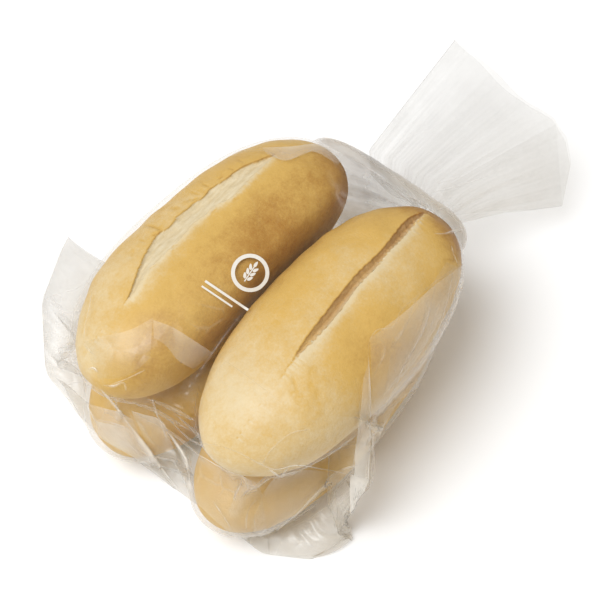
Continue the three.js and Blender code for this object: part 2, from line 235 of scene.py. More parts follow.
# The folds: the pixels along each, its width and how milky it is.
FOLDS = {
    "foot_band": ([(101, 389), (113, 403), (127, 424), (144, 448), (161, 470), (180, 492)], 5.4, 1.0),
    "foot_pane_edge": ([(87, 402), (91, 413), (96, 419), (110, 423), (128, 428)], 2.4, 0.85),
    "foot_pane_foot": ([(90, 428), (104, 430), (118, 436), (140, 455), (158, 474), (176, 490)], 1.0, 0.5),
    "centre_band": (
        [(152, 398), (156, 412), (168, 431), (180, 449), (188, 468), (191, 484), (193, 499)], 4.0, 0.85,
    ),
    "inner_wedge": ([(128, 412), (138, 424), (150, 440), (161, 448)], 4.0, 0.34),
    "long_hem": (
        [(190, 445), (209, 444), (235, 451), (259, 463), (274, 469), (296, 465), (322, 469), (368, 478)],
        1.2, 0.8,
    ),
    "second_hem": ([(186, 448), (205, 458), (222, 468), (244, 477), (256, 484), (263, 497)], 1.0, 0.7),
    "arc": ([(263, 463), (268, 454), (276, 445), (292, 433), (311, 429)], 1.0, 0.6),
    "hem_point": ([(269, 469), (276, 474), (280, 477), (287, 468)], 2.0, 0.95),
    "diagonal_band": ([(270, 537), (280, 527), (296, 514), (320, 491), (344, 472), (360, 464)], 7.0, 0.85),
    "diagonal_edge": ([(285, 529), (311, 517), (330, 504), (348, 489)], 0.7, 0.6),
    "foot_streak": ([(212, 500), (224, 517), (231, 528)], 1.0, 0.8),
    "foot_wave": ([(257, 498), (249, 508), (246, 518), (246, 531)], 1.6, 0.45),
    "foot_wave_right": ([(270, 500), (258, 508), (254, 520), (257, 532)], 1.0, 0.4),
    "fin_edge": ([(368, 354), (369, 380), (369, 420), (369, 450), (368, 488)], 1.8, 0.95),
    "fin_inner": ([(362, 381), (359, 410), (357, 439), (353, 470), (352, 500), (352, 528)], 0.8, 0.5),
    "flank_ridge": (
        [(368, 354), (370, 340), (376, 331), (393, 327), (401, 311), (418, 296), (435, 282), (461, 265)],
        1.0, 0.4,
    ),
    "flank_streak_long": ([(429, 312), (420, 334), (408, 358), (395, 379), (381, 397)], 1.6, 0.5),
    "flank_streak_short": ([(440, 300), (432, 322), (424, 342)], 1.0, 0.45),
    "flank_streak_outer": ([(452, 333), (444, 362), (436, 374)], 0.9, 0.5),
    "flank_thread": ([(446, 372), (433, 381), (420, 389), (398, 402), (374, 418)], 0.7, 0.6),
    "flank_fan": ([(414, 374), (404, 384), (392, 398), (380, 418)], 1.8, 0.35),
    "flank_pleat": ([(436, 284), (421, 330), (404, 362), (392, 392)], 3.4, 0.34),
    "flank_pleat_far": ([(452, 272), (446, 300), (437, 328), (425, 352)], 2.8, 0.34),
    "flank_pleat_near": ([(416, 298), (402, 330), (388, 352)], 2.4, 0.30),
    "flank_pleat_outer": ([(463, 268), (460, 298), (452, 326), (444, 344)], 2.4, 0.42),
    "flank_shred": ([(380, 336), (384, 350), (378, 366), (372, 378)], 2.0, 0.30),
    "far_tuck": ([(434, 234), (446, 234), (455, 231), (463, 230)], 1.8, 0.9),
    "far_tuck_low": ([(451, 246), (453, 254), (457, 264)], 1.3, 0.8),
    "far_ridge": ([(344, 155), (372, 171), (400, 190), (430, 209), (462, 233)], 0.8, 0.7),
    "far_hem": (
        [(244, 152), (267, 152), (280, 159), (291, 159), (305, 154), (317, 149), (327, 154), (337, 168)],
        0.9, 0.6,
    ),
    "top_hem": ([(222, 158), (232, 156), (246, 151), (262, 148)], 1.2, 0.6),
    "left_thread": ([(92, 291), (90, 306), (85, 328), (84, 340)], 0.7, 0.6),
    "left_thread_low": ([(83, 343), (90, 351), (96, 356)], 0.8, 0.6),
    "left_glint": ([(89, 369), (93, 368), (98, 372)], 2.0, 0.7),
    "left_crest": ([(112, 384), (124, 380), (137, 374), (145, 370)], 0.9, 0.7),
    "left_roll_tuck": ([(104, 385), (114, 386), (124, 383), (126, 390)], 2.0, 0.6),
    "across_right_roll": ([(224, 360), (240, 371), (261, 387), (283, 404)], 0.5, 0.25),
    "ear_inner": ([(64, 240), (76, 254), (88, 262), (98, 270)], 0.9, 0.4),
    "ear_fold": ([(44, 300), (58, 294), (72, 290), (86, 284)], 1.0, 0.45),
    "ear_curl": ([(47, 318), (52, 312), (57, 315), (52, 322), (49, 330)], 0.9, 0.5),
    "ear_low": ([(64, 392), (67, 386), (74, 383), (82, 382)], 0.9, 0.5),
    "tail_thread_low": ([(432, 211), (446, 208), (458, 205), (472, 202)], 0.9, 1.0),
    "tail_thread_long": ([(417, 196), (436, 192), (452, 188), (478, 180), (506, 169)], 0.9, 1.0),
    "tail_thread_high": ([(438, 184), (449, 181), (461, 177)], 1.1, 0.9),
    "tail_thread_right": ([(511, 180), (517, 178), (523, 175)], 1.1, 0.8),
}

# Doubled layers of film: the pixels along two sides, and how milky the layer is at each side.
OVERLAP_LIFT = 0.3
OVERLAPS = {
    "left_roll_flap": (
        [(153, 320), (170, 326), (190, 338), (213, 353)], [(154, 338), (164, 344), (179, 361), (193, 369)],
        0.16, 0.10,
    ),
    "left_roll_veil": (
        [(84, 342), (105, 336), (130, 330), (153, 318)], [(98, 378), (116, 378), (134, 372), (150, 358)],
        0.08, 0.06,
    ),
    "foot_pane": (
        [(88, 402), (96, 420), (110, 424), (128, 427)], [(90, 430), (104, 440), (132, 456), (176, 490)],
        0.40, 0.30,
    ),
    "foot_centre": (
        [(131, 410), (144, 414), (158, 418), (168, 432)], [(148, 446), (158, 456), (172, 470), (188, 486)],
        0.24, 0.06,
    ),
    "right_foot_veil": (
        [(192, 452), (222, 468), (250, 480), (262, 494)], [(194, 500), (222, 526), (248, 546), (270, 554)],
        0.10, 0.18,
    ),
    "right_foot_side": (
        [(262, 494), (274, 478), (300, 470), (338, 473)], [(252, 528), (262, 536), (276, 528), (318, 490)],
        0.14, 0.16,
    ),
    "left_foot_veil": (
        [(90, 404), (104, 408), (120, 412), (134, 420)], [(96, 432), (112, 444), (130, 452), (150, 462)],
        0.26, 0.16,
    ),
    "foot_corner": (
        [(286, 530), (312, 518), (332, 504), (350, 490)], [(276, 554), (300, 556), (326, 550), (350, 530)],
        0.10, 0.18,
    ),
    "fin_veil": (
        [(369, 360), (371, 400), (371, 440), (368, 480)], [(363, 378), (360, 412), (356, 450), (352, 528)],
        0.20, 0.30,
    ),
    "fin_foot": (
        [(369, 478), (366, 488), (362, 500), (354, 528)], [(351, 474), (350, 488), (350, 502), (351, 528)],
        0.42, 0.5,
    ),
    "flank_veil": (
        [(466, 262), (436, 284), (402, 314), (370, 338)], [(452, 350), (426, 380), (400, 400), (372, 452)],
        0.20, 0.22,
    ),
    "flank_band": (
        [(446, 262), (424, 296), (408, 320), (392, 340)], [(462, 270), (440, 318), (418, 356), (384, 396)],
        0.08, 0.22,
    ),
    "far_veil": (
        [(262, 148), (290, 147), (322, 145), (344, 156)], [(266, 154), (284, 161), (312, 152), (338, 165)],
        0.34, 0.22,
    ),
    "tail_fold": (
        [(440, 190), (470, 172), (512, 148), (556, 124)], [(452, 216), (486, 212), (526, 210), (562, 206)],
        0.14, 0.10,
    ),
}

# The layers among them that are creased film.
CRUMPLED = (
    "left_roll_flap", "foot_centre", "left_foot_veil", "right_foot_veil", "right_foot_side", "foot_pane",
    "foot_corner", "fin_veil", "fin_foot", "far_veil", "flank_veil", "flank_band",
)

# The print: a plain ring round a sprig of grain, with two bars under it, by its middle's pixel and its own
# right and up. Its parts are in millimetres.
PRINT_MIDDLE = (250.0, 273.0)
PRINT_RIGHT = (0.83, 0.56)
PRINT_UP = (0.56, -0.83)
PIXELS_PER_MM = 2.04
PRINT_LIFT = 0.25
SIDES = (-1.0, 0.0, 1.0)
RING = dict(radius=8.4, width=1.9, steps=64)
GRAIN = (3.2, 1.5)
GRAIN_ROWS = (-2.4, 0.1, 2.6)
GRAIN_LEAN = 32.0
STEM = dict(foot=-5.0, top=3.4, width=0.6)
BARS = [dict(at=-15.6, from_x=-16.0, to_x=9.5, width=1.2), dict(at=-18.6, from_x=-16.0, to_x=2.0, width=0.9)]

# The stage: half the floor's side, one large lamp whose place and size are in metres, and the sky's colour.
FLOOR_HALF = 4000.0
FLOOR_PATCH = (0.94, 0.94, 0.94)
WORN_INK = (0.70, 0.66, 0.59)
LAMP = dict(azimuth=-106.0, elevation=66.0, away=3.0, size=1.9, colour=(0.915, 0.955, 1.0))
SKY_COLOUR = (1.0, 0.93, 0.84)
CLEAR_LAYERS = 48


# ---- Shared maths ----------------------------------------------------------------------------------------

def smoothstep(value, low, high):
    share = np.clip((value - low) / (high - low), 0.0, 1.0)
    return share * share * (3.0 - 2.0 * share)


def ripples(points, wavelength, seed, waves=28):
    """A smooth random field with features about a wavelength wide, and a spread of about 1."""
    draw = np.random.default_rng(seed)
    points = np.asarray(points, float)
    directions = draw.normal(size=(waves, points.shape[-1]))
    directions /= np.linalg.norm(directions, axis=1, keepdims=True)
    lengths = wavelength * draw.uniform(0.7, 1.6, waves)
    phases = draw.uniform(0.0, 2.0 * math.pi, waves)
    steps = directions * (2.0 * math.pi / lengths)[:, None]
    field = np.zeros(points.shape[:-1])
    for step, phase in zip(steps, phases):
        field += np.cos(points @ step + phase)
    return field * math.sqrt(2.0 / waves)


def signed_power(value, power):
    return np.sign(value) * np.abs(value) ** power


def kept_under(value, limit, rounding):
    """The value, eased off so that it stays under the limit."""
    return limit - rounding * np.logaddexp(0.0, (limit - value) / rounding)


def kept_over(value, limit, rounding):
    return -kept_under(-value, -limit, rounding)


def turn_matrix(degrees):
    angle = math.radians(degrees)
    return np.array([
        [math.cos(angle), -math.sin(angle), 0.0],
        [math.sin(angle), math.cos(angle), 0.0],
        [0.0, 0.0, 1.0],
    ])


def roll_placing(roll):
    """The matrix that a roll's own points are multiplied by, and the place that is then added."""
    return turn_matrix(roll["turn"]).T, np.array([roll["x"], roll["y"], roll["z"]])


def unit(vectors):
    return vectors / np.maximum(np.linalg.norm(vectors, axis=-1, keepdims=True), 1e-9)


def grid_normals(points):
    """Outward unit normals of a tube of points: its first index runs along it and its second round it."""
    along = np.gradient(points, axis=0)
    around = np.roll(points, -1, axis=1) - np.roll(points, 1, axis=1)
    return unit(np.cross(around, along))


def smooth_line(points, at):
    """The values at some places of a smooth curve through points, each a place and a value."""
    points = np.asarray(points, float)
    places, values = points[:, 0], points[:, 1]
    slopes = np.gradient(values, places)
    i = np.clip(np.searchsorted(places, at) - 1, 0, len(places) - 2)
    step = places[i + 1] - places[i]
    t = np.clip((at - places[i]) / step, 0.0, 1.0)
    first = (1 + 2 * t) * (1 - t) ** 2 * values[i] + t * (1 - t) ** 2 * step * slopes[i]
    second = t * t * (3 - 2 * t) * values[i + 1] + t * t * (t - 1) * step * slopes[i + 1]
    return first + second


def lengths_along(steps):
    return np.concatenate([[0.0], np.cumsum(steps)])


def step_sizes(points):
    return np.linalg.norm(np.diff(points, axis=0), axis=-1)


def polyline(points, shares):
    """Places along a line through points, by shares of its length."""
    points = np.asarray(points, float)
    steps = step_sizes(points)
    lengths = lengths_along(steps) / steps.sum()
    return np.stack([np.interp(shares, lengths, column) for column in points.T], axis=-1)


def curve_through(points, count):
    """Evenly spaced places on a smooth curve through points."""
    points = np.asarray(points, float)
    lengths = lengths_along(step_sizes(points))
    at = np.linspace(0.0, lengths[-1], count)
    return np.stack([smooth_line(np.stack([lengths, column], axis=-1), at) for column in points.T], axis=-1)


def by_direction(table, degrees, softening=0):
    """A value or place for each direction round the bag, between those of a table, and smoothed."""
    keys = sorted(table)
    values = np.asarray([np.atleast_1d(table[key]) for key in keys], float)
    keys = np.asarray(keys, float)
    wrapped = (degrees - keys[0]) % 360.0 + keys[0]
    closed = np.append(keys, keys[0] + 360.0)
    values = np.vstack([values, values[:1]])
    found = np.stack([np.interp(wrapped, closed, column) for column in values.T], axis=-1)
    for _ in range(softening):
        found = (np.roll(found, 1, axis=0) + 2.0 * found + np.roll(found, -1, axis=0)) / 4.0
    return found


def new_mesh(name, points, faces, material, smooth=True):
    """A mesh object from points in millimetres."""
    mesh = bpy.data.meshes.new(name)
    mesh.from_pydata((np.asarray(points) * MM).tolist(), [], [list(map(int, face)) for face in faces])
    mesh.update()
    mesh.shade_smooth() if smooth else mesh.shade_flat()
    mesh.materials.append(material)
    piece = bpy.data.objects.new(name, mesh)
    bpy.context.scene.collection.objects.link(piece)
    return piece


def tube_faces(rings, around):
    """The quads of a tube of rings, each with the same number of points."""
    first = np.arange(rings - 1)[:, None] * around + np.arange(around)[None, :]
    second = np.arange(rings - 1)[:, None] * around + (np.arange(around)[None, :] + 1) % around
    return np.stack([first, second, second + around, first + around], axis=-1).reshape(-1, 4)


def sheet_faces(rows, columns):
    """The quads of an open sheet of points in rows."""
    first = (np.arange(rows - 1)[:, None] * columns + np.arange(columns - 1)[None, :]).reshape(-1)
    return np.stack([first, first + 1, first + columns + 1, first + columns], axis=-1)


def set_attribute(piece, name, values):
    attribute = piece.data.attributes.new(name, "FLOAT", "POINT")
    attribute.data.foreach_set("value", np.asarray(values, np.float32).ravel())


def surface_tree(piece):
    """A search tree over a piece's faces, in millimetres."""
    points = [vertex.co / MM for vertex in piece.data.vertices]
    return BVHTree.FromPolygons(points, [list(face.vertices) for face in piece.data.polygons])


# ---- Shaders ---------------------------------------------------------------------------------------------

class Wire:
    """One output of a shader node. Arithmetic on wires adds the Math nodes that it takes."""

    def __init__(self, shader, socket):
        self.shader = shader
        self.socket = socket

    def math(self, operation, *values):
        return self.shader.node("ShaderNodeMath", {"operation": operation}, dict(enumerate(values)))

    def __add__(self, other):
        return self.math("ADD", self, other)

    __radd__ = __add__

    def __mul__(self, other):
        return self.math("MULTIPLY", self, other)

    __rmul__ = __mul__

    def __sub__(self, other):
        return self.math("SUBTRACT", self, other)

    def __rsub__(self, other):
        return self.math("SUBTRACT", other, self)

    def __truediv__(self, other):
        return self.math("DIVIDE", self, other)

    def __pow__(self, other):
        return self.math("POWER", self, other)

    def clamped(self, low=0.0, high=1.0):
        return self.shader.node("ShaderNodeClamp", inputs={"Value": self, "Min": low, "Max": high})

    def eased(self, low, high):
        """0 below low and 1 above high, with a smooth step between them."""
        inputs = {"Value": self, "From Min": low, "From Max": high}
        return self.shader.node("ShaderNodeMapRange", {"interpolation_type": "SMOOTHSTEP"}, inputs)


class Shader:
    """A material under construction."""

    def __init__(self, name):
        self.material = bpy.data.materials.new(name)
        self.material.use_nodes = True
        self.tree = self.material.node_tree
        self.tree.nodes.clear()

    def node(self, kind, settings=None, inputs=None, output=0):
        made = self.tree.nodes.new(kind)
        for key, value in (settings or {}).items():
            setattr(made, key, value)
        for key, value in (inputs or {}).items():
            if isinstance(value, Wire):
                self.tree.links.new(value.socket, made.inputs[key])
            else:
                made.inputs[key].default_value = value
        return Wire(self, made.outputs[output]) if made.outputs else None

    def place(self):
        return self.node("ShaderNodeTexCoord", output="Object")

    def stretched(self, vector, scale):
        return self.node("ShaderNodeVectorMath", {"operation": "MULTIPLY"}, {0: vector, 1: scale})

    def noise(self, vector, size, detail=3.0, roughness=0.5):
        """Smooth noise from 0 to 1, with features of the given size in millimetres."""
        inputs = {"Vector": vector, "Scale": 1.0 / (size * MM), "Detail": detail, "Roughness": roughness}
        return self.node("ShaderNodeTexNoise", {"noise_dimensions": "3D"}, inputs, output="Fac")

    def cells(self, vector, size):
        """How far in from the edges of a net of flat cells, of the given size in millimetres."""
        inputs = {"Vector": vector, "Scale": 1.0 / (size * MM)}
        return self.node("ShaderNodeTexVoronoi", {"feature": "DISTANCE_TO_EDGE"}, inputs, output="Distance")

    def attribute(self, name):
        return self.node("ShaderNodeAttribute", {"attribute_name": name}, output="Fac")

    def mixed(self, share, first, second):
        """One colour over another."""
        return self.node("ShaderNodeMix", {"data_type": "RGBA"}, {0: share, 6: first, 7: second}, output=2)

    def bump(self, height, distance, strength=1.0, under=None):
        """Relief of a height from 0 to 1, whose full depth is given in millimetres."""
        inputs = {"Height": height, "Distance": distance * MM, "Strength": strength}
        if under is not None:
            inputs["Normal"] = under
        return self.node("ShaderNodeBump", inputs=inputs)

    def finished(self, surface):
        self.node("ShaderNodeOutputMaterial", inputs={"Surface": surface})
        return self.material


def rgba(colour):
    return (*colour[:3], 1.0)


def crust_material(settings):
    """Soft bread crust: pale to brown by how much it baked and by shade painted into it, and rough cream
    crumb where it is torn open.
    """
    shader = Shader("bread_crust")
    place = shader.place()
    bake = shader.attribute("bake")
    torn = shader.attribute("torn")
    mottle = shader.noise(place, 24.0, 4.0, 0.6)
    freckle = shader.noise(place, 4.5, 4.0, 0.65)
    grain = shader.noise(place, 1.1, 3.0, 0.6)
    level = (bake + (mottle - 0.5) * 0.44 + (freckle - 0.5) * 0.34 + (grain - 0.5) * 0.26).clamped()
    colour = shader.mixed(level.eased(0.0, 0.5), rgba(settings.pale), rgba(settings.golden))
    colour = shader.mixed(level.eased(0.45, 1.0), colour, rgba(settings.brown))
    shreds = shader.noise(shader.stretched(place, (0.35, 1.2, 1.0)), 2.2, 4.0, 0.55)
    crumb = shader.mixed(shreds.eased(0.25, 0.75), rgba(settings.crumb_shade), rgba(settings.crumb))
    colour = shader.mixed(torn.clamped(), colour, crumb)
    pores = shader.noise(place, 0.9, 3.0, 0.6)
    skin = shader.bump(pores, 0.2, 0.8)
    dimples = shader.bump(freckle, 1.0, 0.45, skin)
    folds = shader.bump(shreds * torn, 0.22, 0.3, dimples)
    inputs = {
        "Base Color": colour,
        "Roughness": 0.55 + torn * 0.3,
        "Specular IOR Level": 0.15,
        "Normal": folds,
    }
    return shader.finished(shader.node("ShaderNodeBsdfPrincipled", inputs=inputs))


def film_material(name, settings, milk_colour, painted_reflection_share=1.0):
    """Thin clear film: see-through, milky where it is creased, and glossy where it is seen at a slant. Its
    milk takes a painted reflection of the bread beside it, and painted shade where it is gathered at the
    neck.
    """
    shader = Shader(name)
    milk = shader.attribute("milk")
    creased = shader.attribute("creased")
    place = shader.place()
    cloud = shader.noise(place, 14.0, 3.0, 0.55)
    inputs = {"X": shader.attribute("across"), "Y": shader.attribute("along") * 0.04}
    sheet = shader.node("ShaderNodeCombineXYZ", inputs=inputs)
    streak = shader.noise(sheet, 5.5, 2.0, 0.5)
    relief = shader.bump(streak, 0.22, settings.crinkle)
    facets = shader.cells(place, 17.0)
    relief = shader.bump(facets * creased, 2.4, 0.8, relief)
    kept = shader.noise(place, 16.0, 1.0, 0.5).eased(0.5, 0.66)
    lines = (1.0 - facets.eased(0.0, 0.045)) * kept * creased
    facing = shader.node("ShaderNodeLayerWeight", inputs={"Blend": 0.5, "Normal": relief}, output="Facing")
    clear = shader.node("ShaderNodeBsdfTransparent", inputs={"Color": rgba(settings.tint)})
    # Painted reflection: near the rolls the milk takes the cream of the bread.
    tone = shader.mixed(shader.attribute("painted_reflection") * painted_reflection_share, rgba(milk_colour), rgba(settings.painted_reflection_colour))
    # Painted shade: the gathered film at the neck turns dark.
    tone = shader.mixed(shader.attribute("painted_neck_shade").clamped(), tone, rgba(settings.painted_neck_shade))
    white = shader.node("ShaderNodeBsdfPrincipled", inputs={
        "Base Color": tone, "Roughness": 0.4, "Specular IOR Level": 0.5,
    })
    gloss = shader.node("ShaderNodeBsdfPrincipled", inputs={
        "Base Color": (0.95, 0.95, 0.95, 1.0),
        "Metallic": 1.0,
        "Roughness": settings.roughness,
        "Normal": relief,
    })
    share = (milk * (0.55 + cloud * 0.9) + lines * 0.10).clamped(0.0, 0.95)
    body = shader.node("ShaderNodeMixShader", inputs={0: share, 1: clear, 2: white})
    shine = (facing ** 4.0 * 0.42 + creased * 0.022 + settings.shine).clamped()
    return shader.finished(shader.node("ShaderNodeMixShader", inputs={0: shine, 1: body, 2: gloss}))


def ink_material(settings):
    shader = Shader("white_print")
    wear = shader.noise(shader.place(), 1.2, 2.0, 0.5)
    colour = shader.mixed(wear, rgba(settings.ink), rgba(WORN_INK))
    inputs = {"Base Color": colour, "Roughness": 0.4}
    return shader.finished(shader.node("ShaderNodeBsdfPrincipled", inputs=inputs))


def floor_material(settings):
    shader = Shader("pale_floor")
    mottle = shader.noise(shader.place(), 300.0, 2.0, 0.5)
    colour = shader.mixed(mottle, rgba(settings.floor), rgba(FLOOR_PATCH))
    inputs = {"Base Color": colour, "Roughness": 0.9}
    return shader.finished(shader.node("ShaderNodeBsdfPrincipled", inputs=inputs))


# ---- Rolls -----------------------------------------------------------------------------------------------

def focused_angles(count, focus, spread, share):
    """Directions round a roll in degrees, set closer together about one of them."""
    fine = np.linspace(0.0, 360.0, 3601)
    off = (fine - focus + 180.0) % 360.0 - 180.0
    density = (1.0 - share) / 360.0 + share * np.exp(-((off / spread) ** 2) / 2.0) / (spread * 2.5)
    total = np.concatenate([[0.0], np.cumsum((density[1:] + density[:-1]) / 2.0)])
    return np.interp(np.arange(count) / count, total / total[-1], fine)


def faded(beyond, width):
    """1 up to an edge, and less the further beyond it."""
    return np.exp(-((np.maximum(beyond, 0.0) / width) ** 2))


def cut_slash(slash, along, beside, up, points):
    """How a slash moves the crust in and out and to the right, and where its floor and its edges are."""
    wobble = ripples(along[..., None], 5.0, 5) + 0.7 * ripples(along[..., None], 2.0, 6)
    left = smooth_line(slash["left"], along) + 0.12 * wobble
    right = smooth_line(slash["right"], along) + 2.6 * slash["rough"] * ripples(along[..., None], 2.6, 7)
    width = np.maximum(left - right, 0.0)
    open_here = smoothstep(width, 0.1, 1.6) * smoothstep(up, 2.0, 8.0)
    beyond_left = beside - left
    beyond_right = right - beside
    share = np.clip((beside - right) / np.maximum(width, 0.1), 0.0, 1.0)
    inside = smoothstep(-beyond_left, 0.0, 0.45) * smoothstep(-beyond_right, -0.25, 0.6) * open_here
    rise = slash["floor_rise"]
    from_left = np.clip((1.0 - share) / slash["floor_at"], 0.0, 1.0)
    floor = from_left * (1.0 - rise + rise * smoothstep(share, 0.0, 1.0 - slash["floor_at"]))
    depth = slash["depth"] * np.clip(width / 5.0, 0.25, 1.0)
    roughness = ripples(points * np.array([0.6, 1.0, 1.0]), 2.6, 21) + 0.6 * ripples(points, 1.3, 22)
    hollow = -depth * floor * inside + slash["rough"] * roughness * inside
    torn = inside * (slash["torn"] + 0.4 * (1.0 - slash["torn"]) * smoothstep(1.0 - share, 0.45, 0.9))
    left_rise, left_width = slash["left_lip"]
    right_rise, right_width = slash["right_lip"]
    on_left = faded(beyond_left, left_width) * smoothstep(beyond_left, -0.4, 0.2)
    on_right = faded(beyond_right, right_width) * smoothstep(beyond_right, -0.4, 0.4)
    lips = (left_rise * on_left + right_rise * on_right) * open_here
    lean = slash["lean"] * faded(beyond_left, 4.0)
    lean *= smoothstep(beyond_left, -0.4, 0.1) * open_here
    return hollow + lips, lean, inside, torn, beyond_left, beyond_right, open_here


def pressed(roll, places):
    """Keeps a roll's points on its own side of its neighbours and of the ground."""
    y, z = places[..., 1], places[..., 2]
    if roll["right"]:
        y = kept_over(y, *roll["right"])
    if roll["left"]:
        y = kept_under(y, *roll["left"])
    if roll["over"]:
        z = kept_under(z, *roll["over"])
    z = kept_over(z, *roll["under"])
    return np.stack([places[..., 0], y, z], axis=-1)


def roll_points(name):
    """The points of a roll as a tube of rings, in its own frame, with how baked each is, painted shade
    included, and how torn each is.
    """
    roll = ROLLS[name]
    slash = SLASHES.get(name)
    rings, around = SLASHED_MESH if slash else PLAIN_MESH
    angles = np.arange(around) * 360.0 / around
    if slash:
        angles = focused_angles(around, slash["focus"], slash["spread"], 0.62)
    turn = np.linspace(0.0, math.pi, rings + 2)[1:-1, None]
    round_angle = np.radians(angles)[None, :]
    taper = np.sin(turn) ** (2.0 / TAPER_ROOT)
    along = (roll["length"] / 2) * signed_power(-np.cos(turn), 2.0 / TAPER_POWER) + np.zeros((1, around))
    beside = (roll["width"] / 2) * taper * signed_power(np.cos(round_angle), 2.0 / SECTION_POWER)
    up = (roll["height"] / 2) * taper * signed_power(np.sin(round_angle), 2.0 / SECTION_POWER)
    points = np.stack([along, beside, up], axis=-1)
    normals = grid_normals(points)
    lumps = 0.55 * ripples(points, 60.0, roll["seed"]) + 0.16 * ripples(points, 16.0, roll["seed"] + 50)
    relief = lumps - 1.0
    high = smoothstep(up / (roll["height"] / 2), -0.9, 0.7)
    bake = 0.36 + 0.10 * high + 0.07 * ripples(points, 45.0, roll["seed"] + 80)
    torn = np.zeros(along.shape)
    lean = np.zeros(along.shape)
    if slash:
        found = cut_slash(slash, along, beside, up, points)
        cut, lean, inside, torn, beyond_left, beyond_right, open_here = found
        # Inside the slash its own tone is used, on the right roll partly painted shade in the groove.
        bake = bake * (1.0 - inside) + slash["bake"] * inside
        fray = smoothstep(ripples(points, 1.6, 33), -0.6, 0.9)
        frayed = faded(beyond_right, 1.4) * smoothstep(beyond_right, -0.8, 0.0)
        torn = np.maximum(torn, 0.85 * fray * frayed * open_here)
        paler = 0.26 * faded(beyond_right, 2.4) + 0.14 * faded(beyond_right, 6.0)
        bake -= paler * smoothstep(beyond_right, -0.5, 0.3) * open_here
        # Painted shadow: a thin dark line along the left edge, under the lip.
        outline = np.exp(-((beyond_left / 0.4) ** 2))
        bake += slash["outline"] * outline * open_here
        torn *= 1.0 - 0.7 * outline
        relief += cut
    for place, side, turned, half_length, half_width, depth, brown in CREASES.get(name, []):
        angle = math.radians(turned)
        waver = 0.8 * ripples(along[..., None], 5.0, 61)
        off_along, off_beside = along - place, beside - side
        length = (off_along * math.cos(angle) + off_beside * math.sin(angle)) / half_length
        breadth = (off_beside * math.cos(angle) - off_along * math.sin(angle) + waver) / half_width
        groove = np.exp(-(length ** 2) - breadth ** 2) * (up > 0)
        swell = np.exp(-(length ** 2) - (breadth / 2.5 - 1.0) ** 2) * (up > 0)
        relief += depth * (0.5 * swell - groove)
        # The groove's darkening is partly browner crust and partly painted shade in the crease.
        bake += brown * groove
    points = points + normals * relief[..., None]
    points[..., 1] -= lean
    return points, bake, torn


def build_roll(name, material):
    roll = ROLLS[name]
    points, bake, torn = roll_points(name)
    rings, around = points.shape[:2]
    ends = np.array([points[0].mean(0), points[-1].mean(0)])
    turned, middle = roll_placing(roll)
    placed = pressed(roll, points @ turned + middle)
    ends = pressed(roll, ends @ turned + middle)
    bake += BAKED_ALL_OVER.get(name, 0.0)
    # Painted shade: the Y terms darken the upper rolls towards the valley between them.
    for axis, change, start, whole in SHADES.get(name, []):
        bake += change * smoothstep(placed[..., axis], start, whole)
    faces = tube_faces(rings, around).tolist()
    first, last = rings * around, rings * around + 1
    for i in range(around):
        j = (i + 1) % around
        faces.append([first, j, i])
        faces.append([last, (rings - 1) * around + i, (rings - 1) * around + j])
    piece = new_mesh(name, np.vstack([placed.reshape(-1, 3), ends]), faces, material)
    set_attribute(piece, "bake", np.append(bake, [bake[0, 0], bake[-1, 0]]))
    set_attribute(piece, "torn", np.append(torn, [0.0, 0.0]))
    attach(piece, BODY)
    return piece


# ---- Film ------------------------------------------------------------------------------------------------

def roll_section(roll, x):
    """The outline of one roll where the plane at x cuts it, with the film's gap added, or nothing."""
    along = (x - roll["x"]) / math.cos(math.radians(roll["turn"]))
    share = abs(along) / (roll["length"] / 2 + FILM_GAP)
    if share >= 1.0:
        return np.zeros((0, 2))
    taper = (1.0 - share ** TAPER_POWER) ** (1.0 / TAPER_ROOT)
    y = roll["y"] + (x - roll["x"]) * math.tan(math.radians(roll["turn"]))
    angle = np.arange(72) / 72 * 2.0 * math.pi
    wide = (roll["width"] / 2) * taper + FILM_GAP
    high = (roll["height"] / 2) * taper + FILM_GAP
    across = y + wide * signed_power(np.cos(angle), 2.0 / SECTION_POWER)
    up = roll["z"] + high * signed_power(np.sin(angle), 2.0 / SECTION_POWER)
    return np.stack([across, np.maximum(up, FLOOR)], axis=-1)


def turns_left(a, b, p):
    """Above 0 where the way from a through b to p turns left."""
    return (b[0] - a[0]) * (p[1] - a[1]) - (b[1] - a[1]) * (p[0] - a[0])


def convex_hull(points):
    order = points[np.lexsort((points[:, 1], points[:, 0]))]

    def chain(run):
        kept = []
        for p in run:
            while len(kept) > 1 and turns_left(kept[-2], kept[-1], p) <= 0:
                kept.pop()
            kept.append(p)
        return kept[:-1]

    return np.array(chain(order) + chain(order[::-1]))


def reach_of(outline, angles):
    """How far rays from the middle of the stack reach inside a closed outline, or 0 where they miss it."""
    dy, dz = np.cos(angles)[:, None], np.sin(angles)[:, None]
    start = outline - np.array(STACK_MIDDLE)
    edge = np.roll(outline, -1, axis=0) - outline
    across = dy * edge[:, 1] - dz * edge[:, 0]
    across = np.where(np.abs(across) < 1e-9, 1e-9, across)
    distance = (start[:, 0] * edge[:, 1] - start[:, 1] * edge[:, 0]) / across
    share = (start[:, 0] * dz - start[:, 1] * dy) / across
    return np.where((share >= 0) & (share <= 1), distance, 0.0).max(axis=1)


def taut_over(places, heights):
    """Raises a row of heights to the taut line that a film stretched over them takes."""
    kept = []
    for place, height in zip(places, heights):
        while len(kept) > 1 and turns_left(kept[-2], kept[-1], (place, height)) > 0:
            kept.pop()
        kept.append((place, height))
    kept = np.array(kept)
    return np.interp(places, kept[:, 0], kept[:, 1])


def loose_side(x, angles):
    """How far the film stands off the left of the upper roll, above the ear."""
    off = np.abs(np.degrees(angles) - LOOSE_SIDE["middle"]) / LOOSE_SIDE["half_angle"]
    along = smoothstep(x, LOOSE_SIDE["near"], LOOSE_SIDE["near"] + 30.0)
    along *= 1.0 - smoothstep(x, LOOSE_SIDE["far"] - 50.0, LOOSE_SIDE["far"])
    return LOOSE_SIDE["by"] * along * (1.0 - smoothstep(off, 0.2, 1.0))


